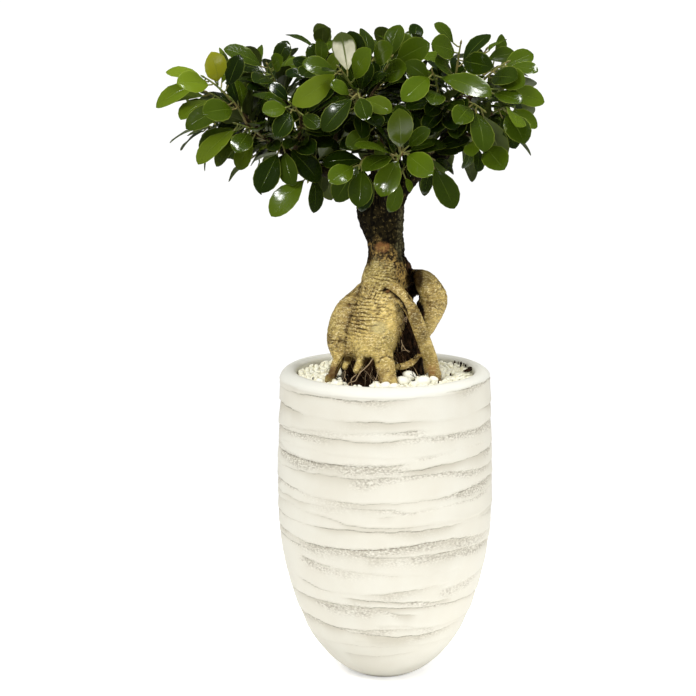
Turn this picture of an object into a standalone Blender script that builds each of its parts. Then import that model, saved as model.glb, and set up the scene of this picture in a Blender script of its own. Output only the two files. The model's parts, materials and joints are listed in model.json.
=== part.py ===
"""Ginseng fig in a tall ridged planter.

One swollen ginseng root with its trunk and boughs, leafy sprays that grow from the bough ends,
potting soil, a top dressing of white pebbles, and the egg-shaped planter that holds them.
Sizes are written in millimetres and turned into metres by MM. The origin is the middle of the
planter's foot, +Z is up and -Y is the front.
"""

import math
import random

import bmesh
import bpy
from mathutils import Matrix, Vector
from mathutils.bvhtree import BVHTree

MM = 0.001
UP = Vector((0, 0, 1))
FIT_GAP = 0.3
GOLDEN_ANGLE = math.radians(137.5)
SMOOTH_ANGLE = math.radians(35)
SEED = 7

# Planter: outlines are (height, radius) points, grooves are (height, sway, phase)
POT_SIDES = 28
WALL = 15
FLOOR_THICKNESS = 16
POT_OUTLINE = ((0, 34), (9, 51), (27, 71), (55, 91), (100, 109), (150, 121), (200, 126),
               (255, 126), (310, 124.5), (352, 123))
POT_FOOT = ((0, 34), (4, 44), (14, 58), (36, 78.5))
INNER_HEIGHTS = (320, 200, 110, 50, FLOOR_THICKNESS)
GROOVES_FULL_ABOVE = 110
LIP = ((356, 123.5), (361.5, 121), (365, 116.5), (366, 112), (365, 107.5), (361.5, 104.5),
       (352, 104.5))
GROOVES = ((345, 2.5, 0.4), (322, 4.0, 2.1), (284, 5.5, 3.4), (262, 4.5, 3.9), (231, 5.0, 1.2),
           (206, 4.0, 4.4), (176, 5.5, 0.9), (151, 4.0, 2.8), (128, 4.5, 5.3), (104, 4.0, 1.9),
           (82, 3.0, 3.6), (60, 2.5, 0.2))
GROOVE_WIDTH = 4.5
GROOVE_DEPTH = 1.9
BAND_SWELL = 1.3

# Soil and pebbles
SOIL_LEVEL = 349
MOUND_HEIGHT = 14
MOUND_MIDDLE = (4, -8)
MOUND_RADIUS = (53, 38)
PEBBLE_BED = 5
PEBBLE_TRIES = 52
PEBBLE_RADIUS = (6, 9.5)
PEBBLE_FLATNESS = 0.72
PEBBLE_SPREAD = 1.15

# Root feet that stand in holes in the soil: x, y, radius
FEET = ((-66, -48, 5.5), (7, -60, 9.5), (62, -28, 8), (38, 10, 9), (-26, 14, 8), (6, 17, 7),
        (20, -14, 6.5))
FEET_IN_BED = 3
FOOT_DEPTH = 22
FOOT_ROOM = 1.4
SOIL_RADIUS = 104.5

# Ginseng root: limbs as (x, y, z, radius) points, blended into one body
LIMBS = {
    "trunk": ((-5, 0, 574, 25), (-6, 0, 550, 28), (-3, -2, 530, 23.5), (-1, -4, 511, 20),
              (-1, -6, 493, 21.5), (-3, -10, 473, 25), (-6, -14, 450, 28), (-12, -18, 422, 31),
              (-15, -19, 402, 29)),
    "trunk_rib": ((7, -8, 560, 15), (9, -6, 524, 12), (12, -6, 495, 12), (14, -10, 471, 11)),
    "belly": ((-4, -22, 442, 20), (-10, -28, 416, 25), (-16, -29, 397, 24), (-11, -27, 388, 20)),
    "left_lobe": ((-26, -4, 465, 12), (-41, -5, 445, 13.5), (-50, -8, 424, 15), (-53, -11, 402, 16),
                  (-50, -14, 386, 13.5)),
    "left_leg": ((-52, -22, 386, 8), (-60, -38, 370, 6.5), (-66, -48, 354, 5)),
    "front_leg": ((-4, -36, 398, 13), (2, -50, 379, 11), (7, -60, 358, 10)),
    "stub_root": ((-26, -42, 384, 7), (-31, -58, 375, 4.5)),
    "right_leg": ((0, -30, 472, 11), (12, -39, 458, 10), (28, -42, 437, 9.2), (42, -39, 413, 8.8),
                  (53, -34, 388, 8.6), (62, -28, 357, 8.6)),
    "loop_root": ((12, -2, 476, 12), (31, 0, 472, 13.5), (47, 2, 465, 15), (55, 2, 448, 16),
                  (51, 3, 430, 16), (46, 5, 412, 14), (41, 8, 389, 11.5), (38, 10, 356, 10)),
    "root_mat": ((14, -14, 446, 7), (21, -13, 424, 8), (25, -14, 404, 9), (24, -15, 384, 10),
                 (20, -14, 358, 6.5)),
    "back_lobe": ((2, 0, 468, 16), (-4, 6, 442, 20), (-12, 9, 414, 22), (-22, 12, 390, 16),
                  (-26, 14, 356, 9)),
    "back_leg": ((4, 4, 404, 12), (6, 13, 380, 9), (6, 17, 356, 8)),
}
LIMB_SIDES = 14
LIMB_VOXEL = 3.0
LIMB_SMOOTHING = 5
LIMB_FACES = 1350

# Boughs as (x, y, z, radius) points, sunk into the trunk at their lower ends
BOUGHS = {
    "right": ((4, 0, 552, 13), (26, -8, 588, 10), (58, -16, 612, 8.5), (82, -18, 640, 6.5),
              (90, -20, 668, 4.5)),
    "left": ((-10, 0, 550, 12), (-40, -12, 586, 9), (-84, -22, 606, 7), (-122, -30, 628, 5),
             (-146, -34, 648, 3.5)),
    "left_high": ((-34, -10, 582, 7), (-58, 2, 620, 6), (-90, 6, 652, 5), (-116, 4, 676, 3.5)),
    "middle": ((-4, -2, 556, 11), (-10, -14, 600, 8), (-18, -24, 640, 6.5), (-26, -34, 676, 4)),
    "right_high": ((66, -17, 620, 6), (76, -4, 654, 5), (84, 0, 690, 3.5)),
    "front": ((0, -6, 548, 10), (4, -44, 578, 7), (3, -70, 598, 5), (-2, -82, 610, 3.5)),
    "back": ((0, 8, 550, 12), (8, 48, 586, 8.5), (16, 84, 618, 6), (28, 104, 652, 3.5)),
    "back_left": ((-4, 6, 556, 9), (-50, 44, 598, 7), (-96, 66, 626, 5), (-130, 76, 656, 3.5)),
    "back_right": ((8, 44, 582, 7), (50, 66, 612, 6), (90, 70, 640, 4.5), (108, 66, 666, 3.5)),
}
BOUGH_SIDES = 5
TWIG_SIDES = 3
TWIG_RADIUS = 1.7
TWIG_STEPS = (0, 0.5, 0.8, 1)
SHOOT_RADIUS = 1.5
SHOOT_SIDES = 3
SHOOT_TIP_RADIUS = 0.9
BUD_LENGTH = 5

# Leaves
LEAF_LENGTH = 50
LEAF_WIDTH = 31
LEAF_REACH = (26, 72)
LEAF_THICKNESS = 0.8
PETIOLE = 8
LEAF_ARCH = 0.07
LEAF_FOLD = 0.20
# Each station: how far along the blade, and its share of the full half width
BLADE_STATIONS = ((0.38, 0.93), (0.76, 0.80))
# Corners of one face of a blade: 0-1 neck, 2-4 lower station, 5-6 upper station, 7 tip
BLADE_TOP = ((0, 2, 3), (0, 3, 1), (1, 3, 4), (2, 5, 3), (3, 5, 6), (3, 6, 4), (5, 7, 6))
BLADE_RIM = (0, 2, 5, 7, 6, 4, 1)
NECK_HALF_WIDTH = 1.1
CLEARANCE = 0.5
LEAST_ANGLE_TO_SHOOT = 28

# The front sprays are laid out on a front elevation, seen from this point: x and z are where a
# point shows on the trunk's plane, and depth is how far behind that plane it lies.
EYE = Vector((-42, -2700, 900))
# Each spray: shoot base (x, z, depth), shoot tip (x, z, depth), leaf tips (x, z, depth, facing).
# Facing 0 turns a leaf's upper side to the front, 90 turns it up, 180 shows its underside.
FRONT_SPRAYS = {
    "spray_left_tip": ((-177, 678, -40), (-208, 705, -46), (
        (-169, 730, -50, 8), (-252, 716, -35, 62), (-239, 702, -80, 40), (-265, 675, -50, 52),
        (-201, 733, -78, 25), (-189, 738, -10, 65))),
    "spray_left_tip_low": ((-175, 668, -26), (-205, 688, -30), (
        (-262, 684, -20, 60), (-237, 665, -30, 45), (-236, 660, -66, 55), (-206, 662, 6, 50))),
    "spray_left_mid": ((-160, 652, -50), (-177, 680, -62), (
        (-229, 649, -80, 35), (-170, 704, -30, 60), (-209, 667, -100, 32))),
    "spray_left_low": ((-140, 636, -50), (-172, 652, -66), (
        (-169, 600, -60, 30), (-181, 614, -40, 45), (-173, 622, -100, 18), (-196, 605, -65, 55),
        (-213, 599, -90, 42), (-207, 621, -45, 55), (-216, 626, -75, 48))),
    "spray_left_high": ((-122, 684, 4), (-135, 718, -6), (
        (-176, 691, 30, 40), (-150, 702, -48, 62), (-170, 705, 26, 50), (-107, 730, 26, 25),
        (-171, 723, 10, 50), (-120, 729, -42, 32), (-186, 736, -10, 55), (-115, 747, -6, 10))),
    "spray_left_front": ((-98, 660, -72), (-109, 675, -92), (
        (-77, 648, -100, 20), (-126, 639, -118, 4), (-90, 696, -60, 40), (-140, 669, -118, 34))),
    "spray_middle_high": ((-36, 688, -52), (-54, 716, -68), (
        (-107, 675, -104, 26), (-94, 725, -76, 40), (-54, 756, -66, 176), (-22, 738, -90, 40))),
    "spray_middle_left": ((-72, 698, -12), (-79, 717, -18), (
        (-104, 729, -20, 25), (-76, 750, 0, 35), (-55, 733, -30, 40), (-97, 709, -60, 50))),
    "spray_crown_right": ((-8, 698, -30), (6, 727, -42), (
        (26, 757, -8, 32), (31, 754, -34, 14), (43, 751, -72, 16), (21, 718, -84, 36))),
    "spray_crown": ((-30, 690, -34), (-14, 727, -42), (
        (-37, 747, -10, 22), (-39, 758, -50, 26), (-24, 762, -12, 50), (6, 742, -92, 34))),
    "spray_right_mid": ((62, 682, -44), (53, 711, -56), (
        (120, 684, -86, 40), (53, 676, -92, 14), (20, 681, -104, 16), (23, 711, -60, 45),
        (61, 735, -30, 50), (21, 724, -70, 32))),
    "spray_fan": ((21, 622, -86), (14, 612, -106), (
        (49, 645, -104, 40), (15, 666, -132, 14), (-20, 599, -140, 58), (50, 594, -138, 10),
        (-40, 608, -126, 72), (-6, 570, -122, 20))),
    "spray_face": ((-34, 674, -78), (-32, 690, -100), (
        (-72, 645, -104, 28), (5, 667, -110, 30), (-22, 659, -132, 3), (-62, 700, -92, 40))),
    "spray_heart": ((-6, 636, -68), (-12, 651, -84), (
        (-10, 610, -76, 20), (-44, 627, -104, 12), (13, 658, -72, 34))),
    "spray_fan_low": ((20, 600, -46), (17, 592, -72), (
        (5, 551, -80, 30), (29, 575, -50, 40))),
    "spray_skirt": ((-24, 614, -82), (-30, 602, -104), (
        (-58, 563, -92, 22), (-39, 553, -92, 18), (-33, 555, -118, 2), (-58, 582, -136, 24))),
    "spray_hanging": ((-104, 632, -54), (-126, 624, -70), (
        (-76, 587, -66, 6), (-148, 622, -56, 60), (-108, 582, -84, 6), (-149, 574, -88, 2))),
    "spray_drop": ((-82, 604, -60), (-89, 587, -76), (
        (-84, 549, -76, 42), (-124, 543, -104, 24))),
    "spray_right_top": ((78, 690, -10), (85, 743, -22), (
        (60, 710, -66, 68), (119, 718, -70, 14), (54, 744, -62, 16), (116, 757, -2, 58),
        (55, 770, -30, 54))),
    "spray_right_peak": ((103, 716, 6), (114, 736, 4), (
        (147, 735, 16, 30), (136, 750, 30, 80))),
    "spray_right_tip": ((106, 696, -14), (138, 722, -22), (
        (150, 706, -62, 30), (152, 697, -66, 20), (174, 716, -44, 52), (169, 734, -8, 28))),
    "spray_right_long": ((98, 684, -36), (132, 692, -48), (
        (158, 674, -28, 62), (158, 680, -72, 34), (184, 678, -50, 38))),
    "spray_right_skirt": ((98, 646, -44), (114, 622, -62), (
        (102, 614, -92, 40), (91, 600, -40, 50), (114, 596, -84, 52), (141, 588, -100, 10))),
    "spray_right_low": ((94, 676, -64), (112, 667, -82), (
        (83, 654, -116, 18), (116, 621, -118, 24), (133, 607, -84, 150))),
    "spray_right_outer": ((122, 664, -52), (144, 672, -64), (
        (161, 632, -104, 16), (175, 651, -50, 45), (149, 625, -70, 14), (152, 651, -120, 58))),
    "spray_right_drop": ((46, 620, -28), (52, 606, -60), (
        (78, 597, -24, 62), (64, 591, -16, 40), (45, 572, -56, 38), (79, 555, -76, 14))),
}

# The hidden sprays follow a rule. Each: shoot tip (x, y, z), leaf count.
RULED_SPRAYS = {
    "spray_back_left_tip": ((-196, 62, 676), 7),
    "spray_back_left_high": ((-150, 92, 704), 6),
    "spray_back_left_low": ((-132, 112, 622), 6),
    "spray_back_left_hang": ((-74, 92, 594), 5),
    "spray_back_high": ((-66, 92, 726), 7),
    "spray_back_mid_left": ((-82, 136, 672), 7),
    "spray_back_top": ((0, 64, 734), 6),
    "spray_back_middle": ((-10, 142, 694), 7),
    "spray_back_low": ((-14, 132, 632), 6),
    "spray_back_hang": ((48, 96, 592), 5),
    "spray_back_right_high": ((64, 92, 718), 6),
    "spray_back_right_mid": ((62, 132, 656), 7),
    "spray_back_right_low": ((96, 104, 618), 6),
    "spray_back_right_tip": ((138, 70, 682), 7),
    "spray_right_side": ((142, 36, 646), 6),
    "spray_right_side_high": ((128, 34, 714), 5),
    "spray_left_side": ((-216, 8, 650), 6),
    "spray_left_side_low": ((-160, 22, 606), 5),
    "spray_top_left": ((-76, 26, 738), 5),
    "spray_top_right": ((34, 18, 738), 5),
}
DOME_CENTRE = Vector((-30, 10, 640))
SHOOT_LENGTH = 34


# Shared helpers


def clear_scene():
    for thing in list(bpy.data.objects):
        bpy.data.objects.remove(thing)


def material(name, colour, roughness, metallic=0.0):
    made = bpy.data.materials.new(name)
    made.use_nodes = True
    shader = made.node_tree.nodes["Principled BSDF"]
    shader.inputs["Base Color"].default_value = (*colour, 1)
    shader.inputs["Roughness"].default_value = roughness
    shader.inputs["Metallic"].default_value = metallic
    return made


def add_object(name, points, faces, finish=None, smooth=False):
    """A new mesh object from points in millimetres."""
    mesh = bpy.data.meshes.new(name)
    mesh.from_pydata([Vector(p) * MM for p in points], [], faces)
    mesh.update()
    thing = bpy.data.objects.new(name, mesh)
    bpy.context.scene.collection.objects.link(thing)
    if finish:
        mesh.materials.append(finish)
    if smooth:
        mesh.shade_smooth()
        mesh.set_sharp_from_angle(angle=SMOOTH_ANGLE)
    return thing


def bake(thing, name, finish):
    """The object's evaluated mesh as a plain object, in place of the one that made it."""
    graph = bpy.context.evaluated_depsgraph_get()
    mesh = bpy.data.meshes.new_from_object(thing.evaluated_get(graph))
    bpy.data.objects.remove(thing)
    baked = bpy.data.objects.new(name, mesh)
    bpy.context.scene.collection.objects.link(baked)
    mesh.materials.clear()
    mesh.materials.append(finish)
    return baked


def join_by_union(body, helpers):
    """One Boolean union of the body with all the helpers, which are then removed."""
    group = bpy.data.collections.new(body.name + "_helpers")
    bpy.context.scene.collection.children.link(group)
    for helper in helpers:
        bpy.context.scene.collection.objects.unlink(helper)
        group.objects.link(helper)
    union = body.modifiers.new("union", "BOOLEAN")
    union.operation = "UNION"
    union.solver = "EXACT"
    union.operand_type = "COLLECTION"
    union.collection = group
    joined = bake(body, body.name, body.data.materials[0])
    for helper in helpers:
        bpy.data.objects.remove(helper)
    bpy.data.collections.remove(group)
    return joined


def on_outline(outline, height):
    """Radius at a height, read from straight spans between (height, radius) points."""
    for (low, a), (high, b) in zip(outline, outline[1:]):
        if height <= high:
            return a + (b - a) * (height - low) / (high - low)
    return outline[-1][1]


def path_frames(points, end_way=None):
    """For each point of a path: its direction and two cross axes that don't twist along it."""
    frames = []
    side = None
    for i in range(len(points)):
        ahead = points[min(i + 1, len(points) - 1)] - points[max(i - 1, 0)]
        if end_way and i == len(points) - 1:
            ahead = end_way.copy()
        ahead.normalize()
        if side is None:
            side = ahead.cross(Vector((0, 1, 0)) if abs(ahead.y) < 0.8 else Vector((1, 0, 0)))
        side = (side - ahead * side.dot(ahead)).normalized()
        frames.append((ahead, side, ahead.cross(side)))
    return frames


def ring_skin(rings, sides):
    """Faces of a closed skin over a stack of rings with this many corners each, with flat ends."""
    faces = [tuple(reversed(range(sides)))]
    for i in range(rings - 1):
        for k in range(sides):
            a = i * sides + k
            b = i * sides + (k + 1) % sides
            faces.append((a, b, b + sides, a + sides))
    faces.append(tuple(range((rings - 1) * sides, rings * sides)))
    return faces


def tube(points, radii, sides, round_ends=False, end_way=None):
    """Points and faces of a closed tube along a path, with flat or domed ends."""
    frames = path_frames(points, end_way)
    rings = list(zip(points, radii, frames))
    if round_ends:
        for share in (0.5, 0.85):
            narrow = math.sqrt(1 - share * share)
            centre, radius, frame = points[0], radii[0], frames[0]
            rings.insert(0, (centre - frame[0] * radius * share, radius * narrow, frame))
            centre, radius, frame = points[-1], radii[-1], frames[-1]
            rings.append((centre + frame[0] * radius * share, radius * narrow, frame))
    corners = []
    for centre, radius, (ahead, side, other) in rings:
        for k in range(sides):
            turn = 2 * math.pi * k / sides
            corners.append(centre + (side * math.cos(turn) + other * math.sin(turn)) * radius)
    return corners, ring_skin(len(rings), sides)


def smooth_path(points, steps):
    """Points and radii read from a smooth curve through (x, y, z, radius) points."""
    knots = [points[0], *points, points[-1]]
    out = []
    for i in range(1, len(knots) - 2):
        p0, p1, p2, p3 = (Vector(knots[i + k]) for k in (-1, 0, 1, 2))
        for j in range(steps):
            t = j / steps
            out.append(0.5 * (2 * p1 + (p2 - p0) * t + (2 * p0 - 5 * p1 + 4 * p2 - p3) * t * t
                              + (3 * p1 - 3 * p2 + p3 - p0) * t ** 3))
    out.append(Vector(points[-1]))
    return [p.to_3d() for p in out], [p[3] for p in out]


# Planter


def groove_height(groove, turn):
    """Height of a groove's middle at an angle round the planter, as the groove wanders."""
    height, sway, phase = groove
    return height + sway * (math.sin(turn + phase) * 0.6 + math.sin(2 * turn + 2.3 * phase) * 0.4)


def pot_outside_rings(turn):
    """(height, radius) of each ring of the outer wall at one angle, from foot to lip."""
    rings = list(POT_FOOT)
    for groove in reversed(GROOVES):
        middle = groove_height(groove, turn)
        share = min(1.0, middle / GROOVES_FULL_ABOVE)
        for offset, bulge in ((0, -GROOVE_DEPTH), (GROOVE_WIDTH, BAND_SWELL)):
            height = middle + offset
            rings.append((height, on_outline(POT_OUTLINE, height) + bulge * share))
    return rings + list(LIP)


def pot_inside_rings():
    """(height, radius) of the inner wall's rings below the lip, down to the floor."""
    return [(height, on_outline(POT_OUTLINE, height) - WALL - BAND_SWELL)
            for height in INNER_HEIGHTS]


def turned_rings(rule):
    """Rings of corners round the axis: rule(turn) lists (height, radius) at each turn."""
    columns = []
    for k in range(POT_SIDES):
        turn = 2 * math.pi * k / POT_SIDES
        columns.append([Vector((r * math.cos(turn), r * math.sin(turn), z)) for z, r in rule(turn)])
    return [list(ring) for ring in zip(*columns)]


def add_ring_solid(name, rings, finish):
    corners = [corner for ring in rings for corner in ring]
    return add_object(name, corners, ring_skin(len(rings), POT_SIDES), finish, smooth=True)


def build_pot(finish):
    """The planter in one skin: up the ridged outside, over the lip and down the inside."""
    rings = turned_rings(lambda turn: pot_outside_rings(turn) + pot_inside_rings())
    return add_ring_solid("pot", rings, finish)


# Soil and pebbles


def mound(x, y):
    """Height of the soil under and round the root."""
    reach = min(1.0, math.hypot((x - MOUND_MIDDLE[0]) / MOUND_RADIUS[0],
                                (y - MOUND_MIDDLE[1]) / MOUND_RADIUS[1]))
    return SOIL_LEVEL + MOUND_HEIGHT * (0.5 + 0.5 * math.cos(math.pi * reach))


def mound_ring(share):
    """A ring of points on the soil, a share of the way out to the edge of the mound."""
    ring = []
    for k in range(POT_SIDES):
        turn = 2 * math.pi * k / POT_SIDES
        x = MOUND_MIDDLE[0] + share * MOUND_RADIUS[0] * math.cos(turn)
        y = MOUND_MIDDLE[1] + share * MOUND_RADIUS[1] * math.sin(turn)
        ring.append(Vector((x, y, mound(x, y))))
    return ring


def drill_feet(body, feet, top, bottom):
    """Plain round holes in the body for some of the root's feet, between two heights."""
    for i, (x, y, radius) in enumerate(feet):
        corners, faces = tube([Vector((x, y, bottom)), Vector((x, y, top))], [radius + FOOT_ROOM] * 2, 8)
        drill = add_object(f"{body.name}_hole_{i}", corners, faces)
        drill.hide_render = True
        drill.display_type = "WIRE"
        cut = body.modifiers.new(drill.name, "BOOLEAN")
        cut.operation = "DIFFERENCE"
        cut.object = drill


def build_soil(finish):
    """Soil that fills the planter, with a low mound and a plain hole for each root foot."""
    wall = [(SOIL_LEVEL, SOIL_RADIUS)] + pot_inside_rings()[:-1]
    wall.append((FLOOR_THICKNESS + FIT_GAP, pot_inside_rings()[-1][1]))
    wall = [(height, radius - FIT_GAP * 2) for height, radius in reversed(wall)]
    rings = turned_rings(lambda turn: wall)
    rings += [mound_ring(share) for share in (1, 0.6, 0.25)]
    soil = add_ring_solid("soil", rings, finish)
    drill_feet(soil, FEET, SOIL_LEVEL + 40, SOIL_LEVEL - FOOT_DEPTH - FIT_GAP)
    return soil


def pebble(centre, size, turn):
    """A twelve-cornered pebble, squashed and turned."""
    shape = bmesh.new()
    bmesh.ops.create_icosphere(shape, subdivisions=1, radius=1)
    spin = Matrix.Rotation(turn, 3, "Z")
    stretch = Matrix.Diagonal((size * PEBBLE_SPREAD, size * 0.9, size * PEBBLE_FLATNESS))
    points = [centre + spin @ (stretch @ v.co) for v in shape.verts]
    faces = [tuple(v.index for v in f.verts) for f in shape.faces]
    shape.free()
    return points, faces


def pebble_bed(finish):
    """A thin flat ring of grit on the soil, from the mound's edge to the planter's wall."""
    reach = SOIL_RADIUS - 1
    corners, faces = [], []
    for k, edge in enumerate(mound_ring(1)):
        turn = 2 * math.pi * k / POT_SIDES
        inner = edge.to_2d() + (edge.to_2d() - Vector(MOUND_MIDDLE)).normalized()
        outer = Vector((math.cos(turn), math.sin(turn))) * reach
        for place, lift in ((inner, 0), (outer, 0), (outer, PEBBLE_BED), (inner, PEBBLE_BED)):
            corners.append((place.x, place.y, SOIL_LEVEL + FIT_GAP + lift))
        a, b = 4 * k, 4 * ((k + 1) % POT_SIDES)
        for i in range(4):
            j = (i + 1) % 4
            faces.append((a + i, b + i, b + j, a + j))
    return add_object("pebbles", corners, faces, finish, smooth=True)


def pebble_places(draw):
    """(centre, size) of pebbles in a sunflower spiral, clear of the mound, feet and each other."""
    reach = SOIL_RADIUS - 1
    places = []
    for i in range(PEBBLE_TRIES):
        turn = i * GOLDEN_ANGLE
        radius = reach * math.sqrt((i + 0.5) / PEBBLE_TRIES)
        size = draw.uniform(*PEBBLE_RADIUS)
        room = size * PEBBLE_SPREAD
        x, y = radius * math.cos(turn), radius * math.sin(turn)
        centre = Vector((x, y, SOIL_LEVEL + FIT_GAP + 0.5 + size * PEBBLE_FLATNESS))
        in_mound = math.hypot((x - MOUND_MIDDLE[0]) / (MOUND_RADIUS[0] + size),
                              (y - MOUND_MIDDLE[1]) / (MOUND_RADIUS[1] + size)) < 1
        at_foot = any(math.hypot(x - fx, y - fy) < fr + room + FOOT_ROOM for fx, fy, fr in FEET)
        at_pebble = any((centre - other).length < room + near * PEBBLE_SPREAD + 0.5
                        for other, near in places)
        if not (in_mound or at_foot or at_pebble or radius + room > reach):
            places.append((centre, size))
    return places


def build_pebbles(finish):
    """The bed with its pebbles in one body, and holes for the feet that pass through it."""
    draw = random.Random(SEED)
    bed = pebble_bed(finish)
    stones = []
    for centre, size in pebble_places(draw):
        points, skin = pebble(centre, size, draw.uniform(0, math.pi))
        stones.append(add_object(f"stone_{len(stones)}", points, skin))
    bed = join_by_union(bed, stones)
    drill_feet(bed, FEET[:FEET_IN_BED], SOIL_LEVEL + 40, SOIL_LEVEL - 10)
    return bed


# Root, trunk and boughs


def build_root(finish):
    """The swollen root and trunk: limbs melted into one skin, then thinned to few faces."""
    corners, faces = [], []
    for limb in LIMBS.values():
        points, radii = smooth_path(limb, 4)
        skin, skin_faces = tube(points, radii, LIMB_SIDES, round_ends=True)
        faces += [tuple(i + len(corners) for i in face) for face in skin_faces]
        corners += skin
    root = add_object("trunk", corners, faces, finish)
    melt = root.modifiers.new("melt", "REMESH")
    melt.mode = "VOXEL"
    melt.voxel_size = LIMB_VOXEL * MM
    ease = root.modifiers.new("ease", "SMOOTH")
    ease.factor = 0.5
    ease.iterations = LIMB_SMOOTHING
    root = bake(root, "trunk", finish)
    thin = root.modifiers.new("thin", "DECIMATE")
    thin.ratio = LIMB_FACES / (2 * len(root.data.polygons))
    return bake(root, "trunk", finish)


def build_trunk(canopy, finish):
    """The root with its feet, boughs and twigs joined on, in one body."""
    helpers = []
    for i, (x, y, radius) in enumerate(FEET):
        top, bottom = Vector((x, y, SOIL_LEVEL + 16)), Vector((x, y, SOIL_LEVEL - FOOT_DEPTH))
        corners, faces = tube([bottom, top], [radius * 0.8, radius], 8)
        helpers.append(add_object(f"foot_{i}", corners, faces))
    for name, points in BOUGHS.items():
        path, radii = smooth_path(points, 2)
        corners, faces = tube(path, radii, BOUGH_SIDES)
        helpers.append(add_object(f"bough_{name}", corners, faces))
    for spray in canopy:
        path, radii = spray["twig"]
        corners, faces = tube(path, radii, TWIG_SIDES, end_way=spray["shoot"][2][0][0])
        helpers.append(add_object(f"twig_{spray['name']}", corners, faces))
    return join_by_union(build_root(finish), helpers)


# Canopy plan: where each twig, shoot and leaf goes


def seen_from_front(x, z, depth):
    """The point that shows at (x, z) on the front elevation and lies depth behind its plane."""
    return EYE + (Vector((x, 0, z)) - EYE) * (1 - depth / EYE.y)


def bough_points():
    """Points along every bough, away from its ends: (point, radius, direction)."""
    found = []
    for points in BOUGHS.values():
        path, radii = smooth_path(points, 6)
        frames = path_frames(path)
        for i in range(4, len(path) - 1):
            found.append((path[i], radii[i], frames[i][0]))
    return found


def twig_to(base, ahead, anchors):
    """A twig that leaves the best placed bough point and arrives at a shoot's base, head on."""
    def cost(anchor):
        point, radius, along = anchor
        reach = base - point
        rise = reach.normalized().z if reach.length > 1 else 0
        return reach.length * (1.25 - 0.45 * reach.normalized().dot(along) - 0.2 * rise)

    point, radius, along = min(anchors, key=cost)
    span = (base - point).length
    lean = (base - point).normalized() * 0.6 + along * 0.4
    first = point + lean * span * 0.35
    last = base - ahead * span * 0.3
    path = []
    for t in TWIG_STEPS:
        u = 1 - t
        path.append(point * u ** 3 + first * 3 * u * u * t + last * 3 * u * t * t + base * t ** 3)
    start = min(radius * 0.75, 1.7 + span * 0.02)
    radii = [start + (TWIG_RADIUS - start) * t for t in TWIG_STEPS]
    return path, radii


def facing_normal(along, facing):
    """A blade's upper side: turned from the front by facing degrees about the leaf's own line."""
    front = Vector((0, -1, 0))
    level = front - along * front.dot(along)
    if level.length < 0.15:
        level = UP - along * UP.dot(along)
    level.normalize()
    other = along.cross(level)
    if other.z < -0.3 or (abs(other.z) <= 0.3 and other.x < 0):
        other = -other
    turn = math.radians(facing)
    return (level * math.cos(turn) + other * math.sin(turn)).normalized()


def front_plan():
    """Shoots and wished leaves of the sprays that are laid out by hand."""
    plans = []
    for name, (base, tip, leaves) in FRONT_SPRAYS.items():
        start, end = seen_from_front(*base), seen_from_front(*tip)
        wishes = []
        for x, z, depth, facing in leaves:
            goal = seen_from_front(x, z, depth)
            wishes.append({"goal": goal, "facing": facing, "width": LEAF_WIDTH})
        wishes.sort(key=lambda wish: (wish["goal"] - start).length)
        plans.append({"name": name, "base": start, "tip": end, "wishes": wishes})
    return plans


def ruled_plan():
    """Shoots and wished leaves of the other sprays: leaves go round the shoot in a spiral."""
    draw = random.Random(SEED)
    plans = []
    for name, (place, count) in RULED_SPRAYS.items():
        tip = Vector(place)
        outward = (tip - DOME_CENTRE).normalized()
        droop = -0.35 if tip.z < 640 else 0.25
        ahead = (outward + UP * droop).normalized()
        base = tip - ahead * SHOOT_LENGTH
        side = ahead.cross(UP).normalized()
        over = side.cross(ahead)
        spin = draw.uniform(0, 2 * math.pi)
        wishes = []
        for i in range(count):
            share = i / (count - 1)
            turn = spin + i * GOLDEN_ANGLE
            spread = math.radians(96 - 48 * share)
            away = side * math.cos(turn) + over * math.sin(turn)
            along = ahead * math.cos(spread) + away * math.sin(spread)
            along = (along + outward * 0.25 - UP * 0.12).normalized()
            start = base + (tip - base) * (0.25 + 0.7 * share)
            length = (LEAF_LENGTH + PETIOLE * 0.3) * draw.uniform(0.84, 1.08) * (1.04 - 0.2 * share)
            normal = ahead * 0.55 + UP * 0.55 + outward * 0.2
            wishes.append({"goal": start + along * length, "normal": normal,
                           "width": LEAF_WIDTH * draw.uniform(0.9, 1.05)})
        plans.append({"name": name, "base": base, "tip": tip, "wishes": wishes})
    return plans


def shoot_rings(plan):
    """Centres and radii of the shoot's rings: one bare stretch, then one segment for each leaf."""
    count = len(plan["wishes"])
    shares = [0.0] + [0.22 + 0.78 * i / count for i in range(count + 1)]
    span = plan["tip"] - plan["base"]
    bow = UP * span.length * 0.06
    centres = [plan["base"] + span * s + bow * 4 * s * (1 - s) for s in shares]
    radii = [SHOOT_RADIUS + (SHOOT_TIP_RADIUS - SHOOT_RADIUS) * s for s in shares]
    return centres, radii


def leaf_axes(start, wish):
    """The way from a leaf's foot to its wished tip, and the side that its upper face looks to."""
    along = (wish["goal"] - start).normalized()
    if "normal" in wish:
        normal = wish["normal"] - along * wish["normal"].dot(along)
        if normal.length < 0.1:
            normal = UP - along * UP.dot(along)
        normal.normalize()
    else:
        normal = facing_normal(along, wish["facing"])
    return along, normal


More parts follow.
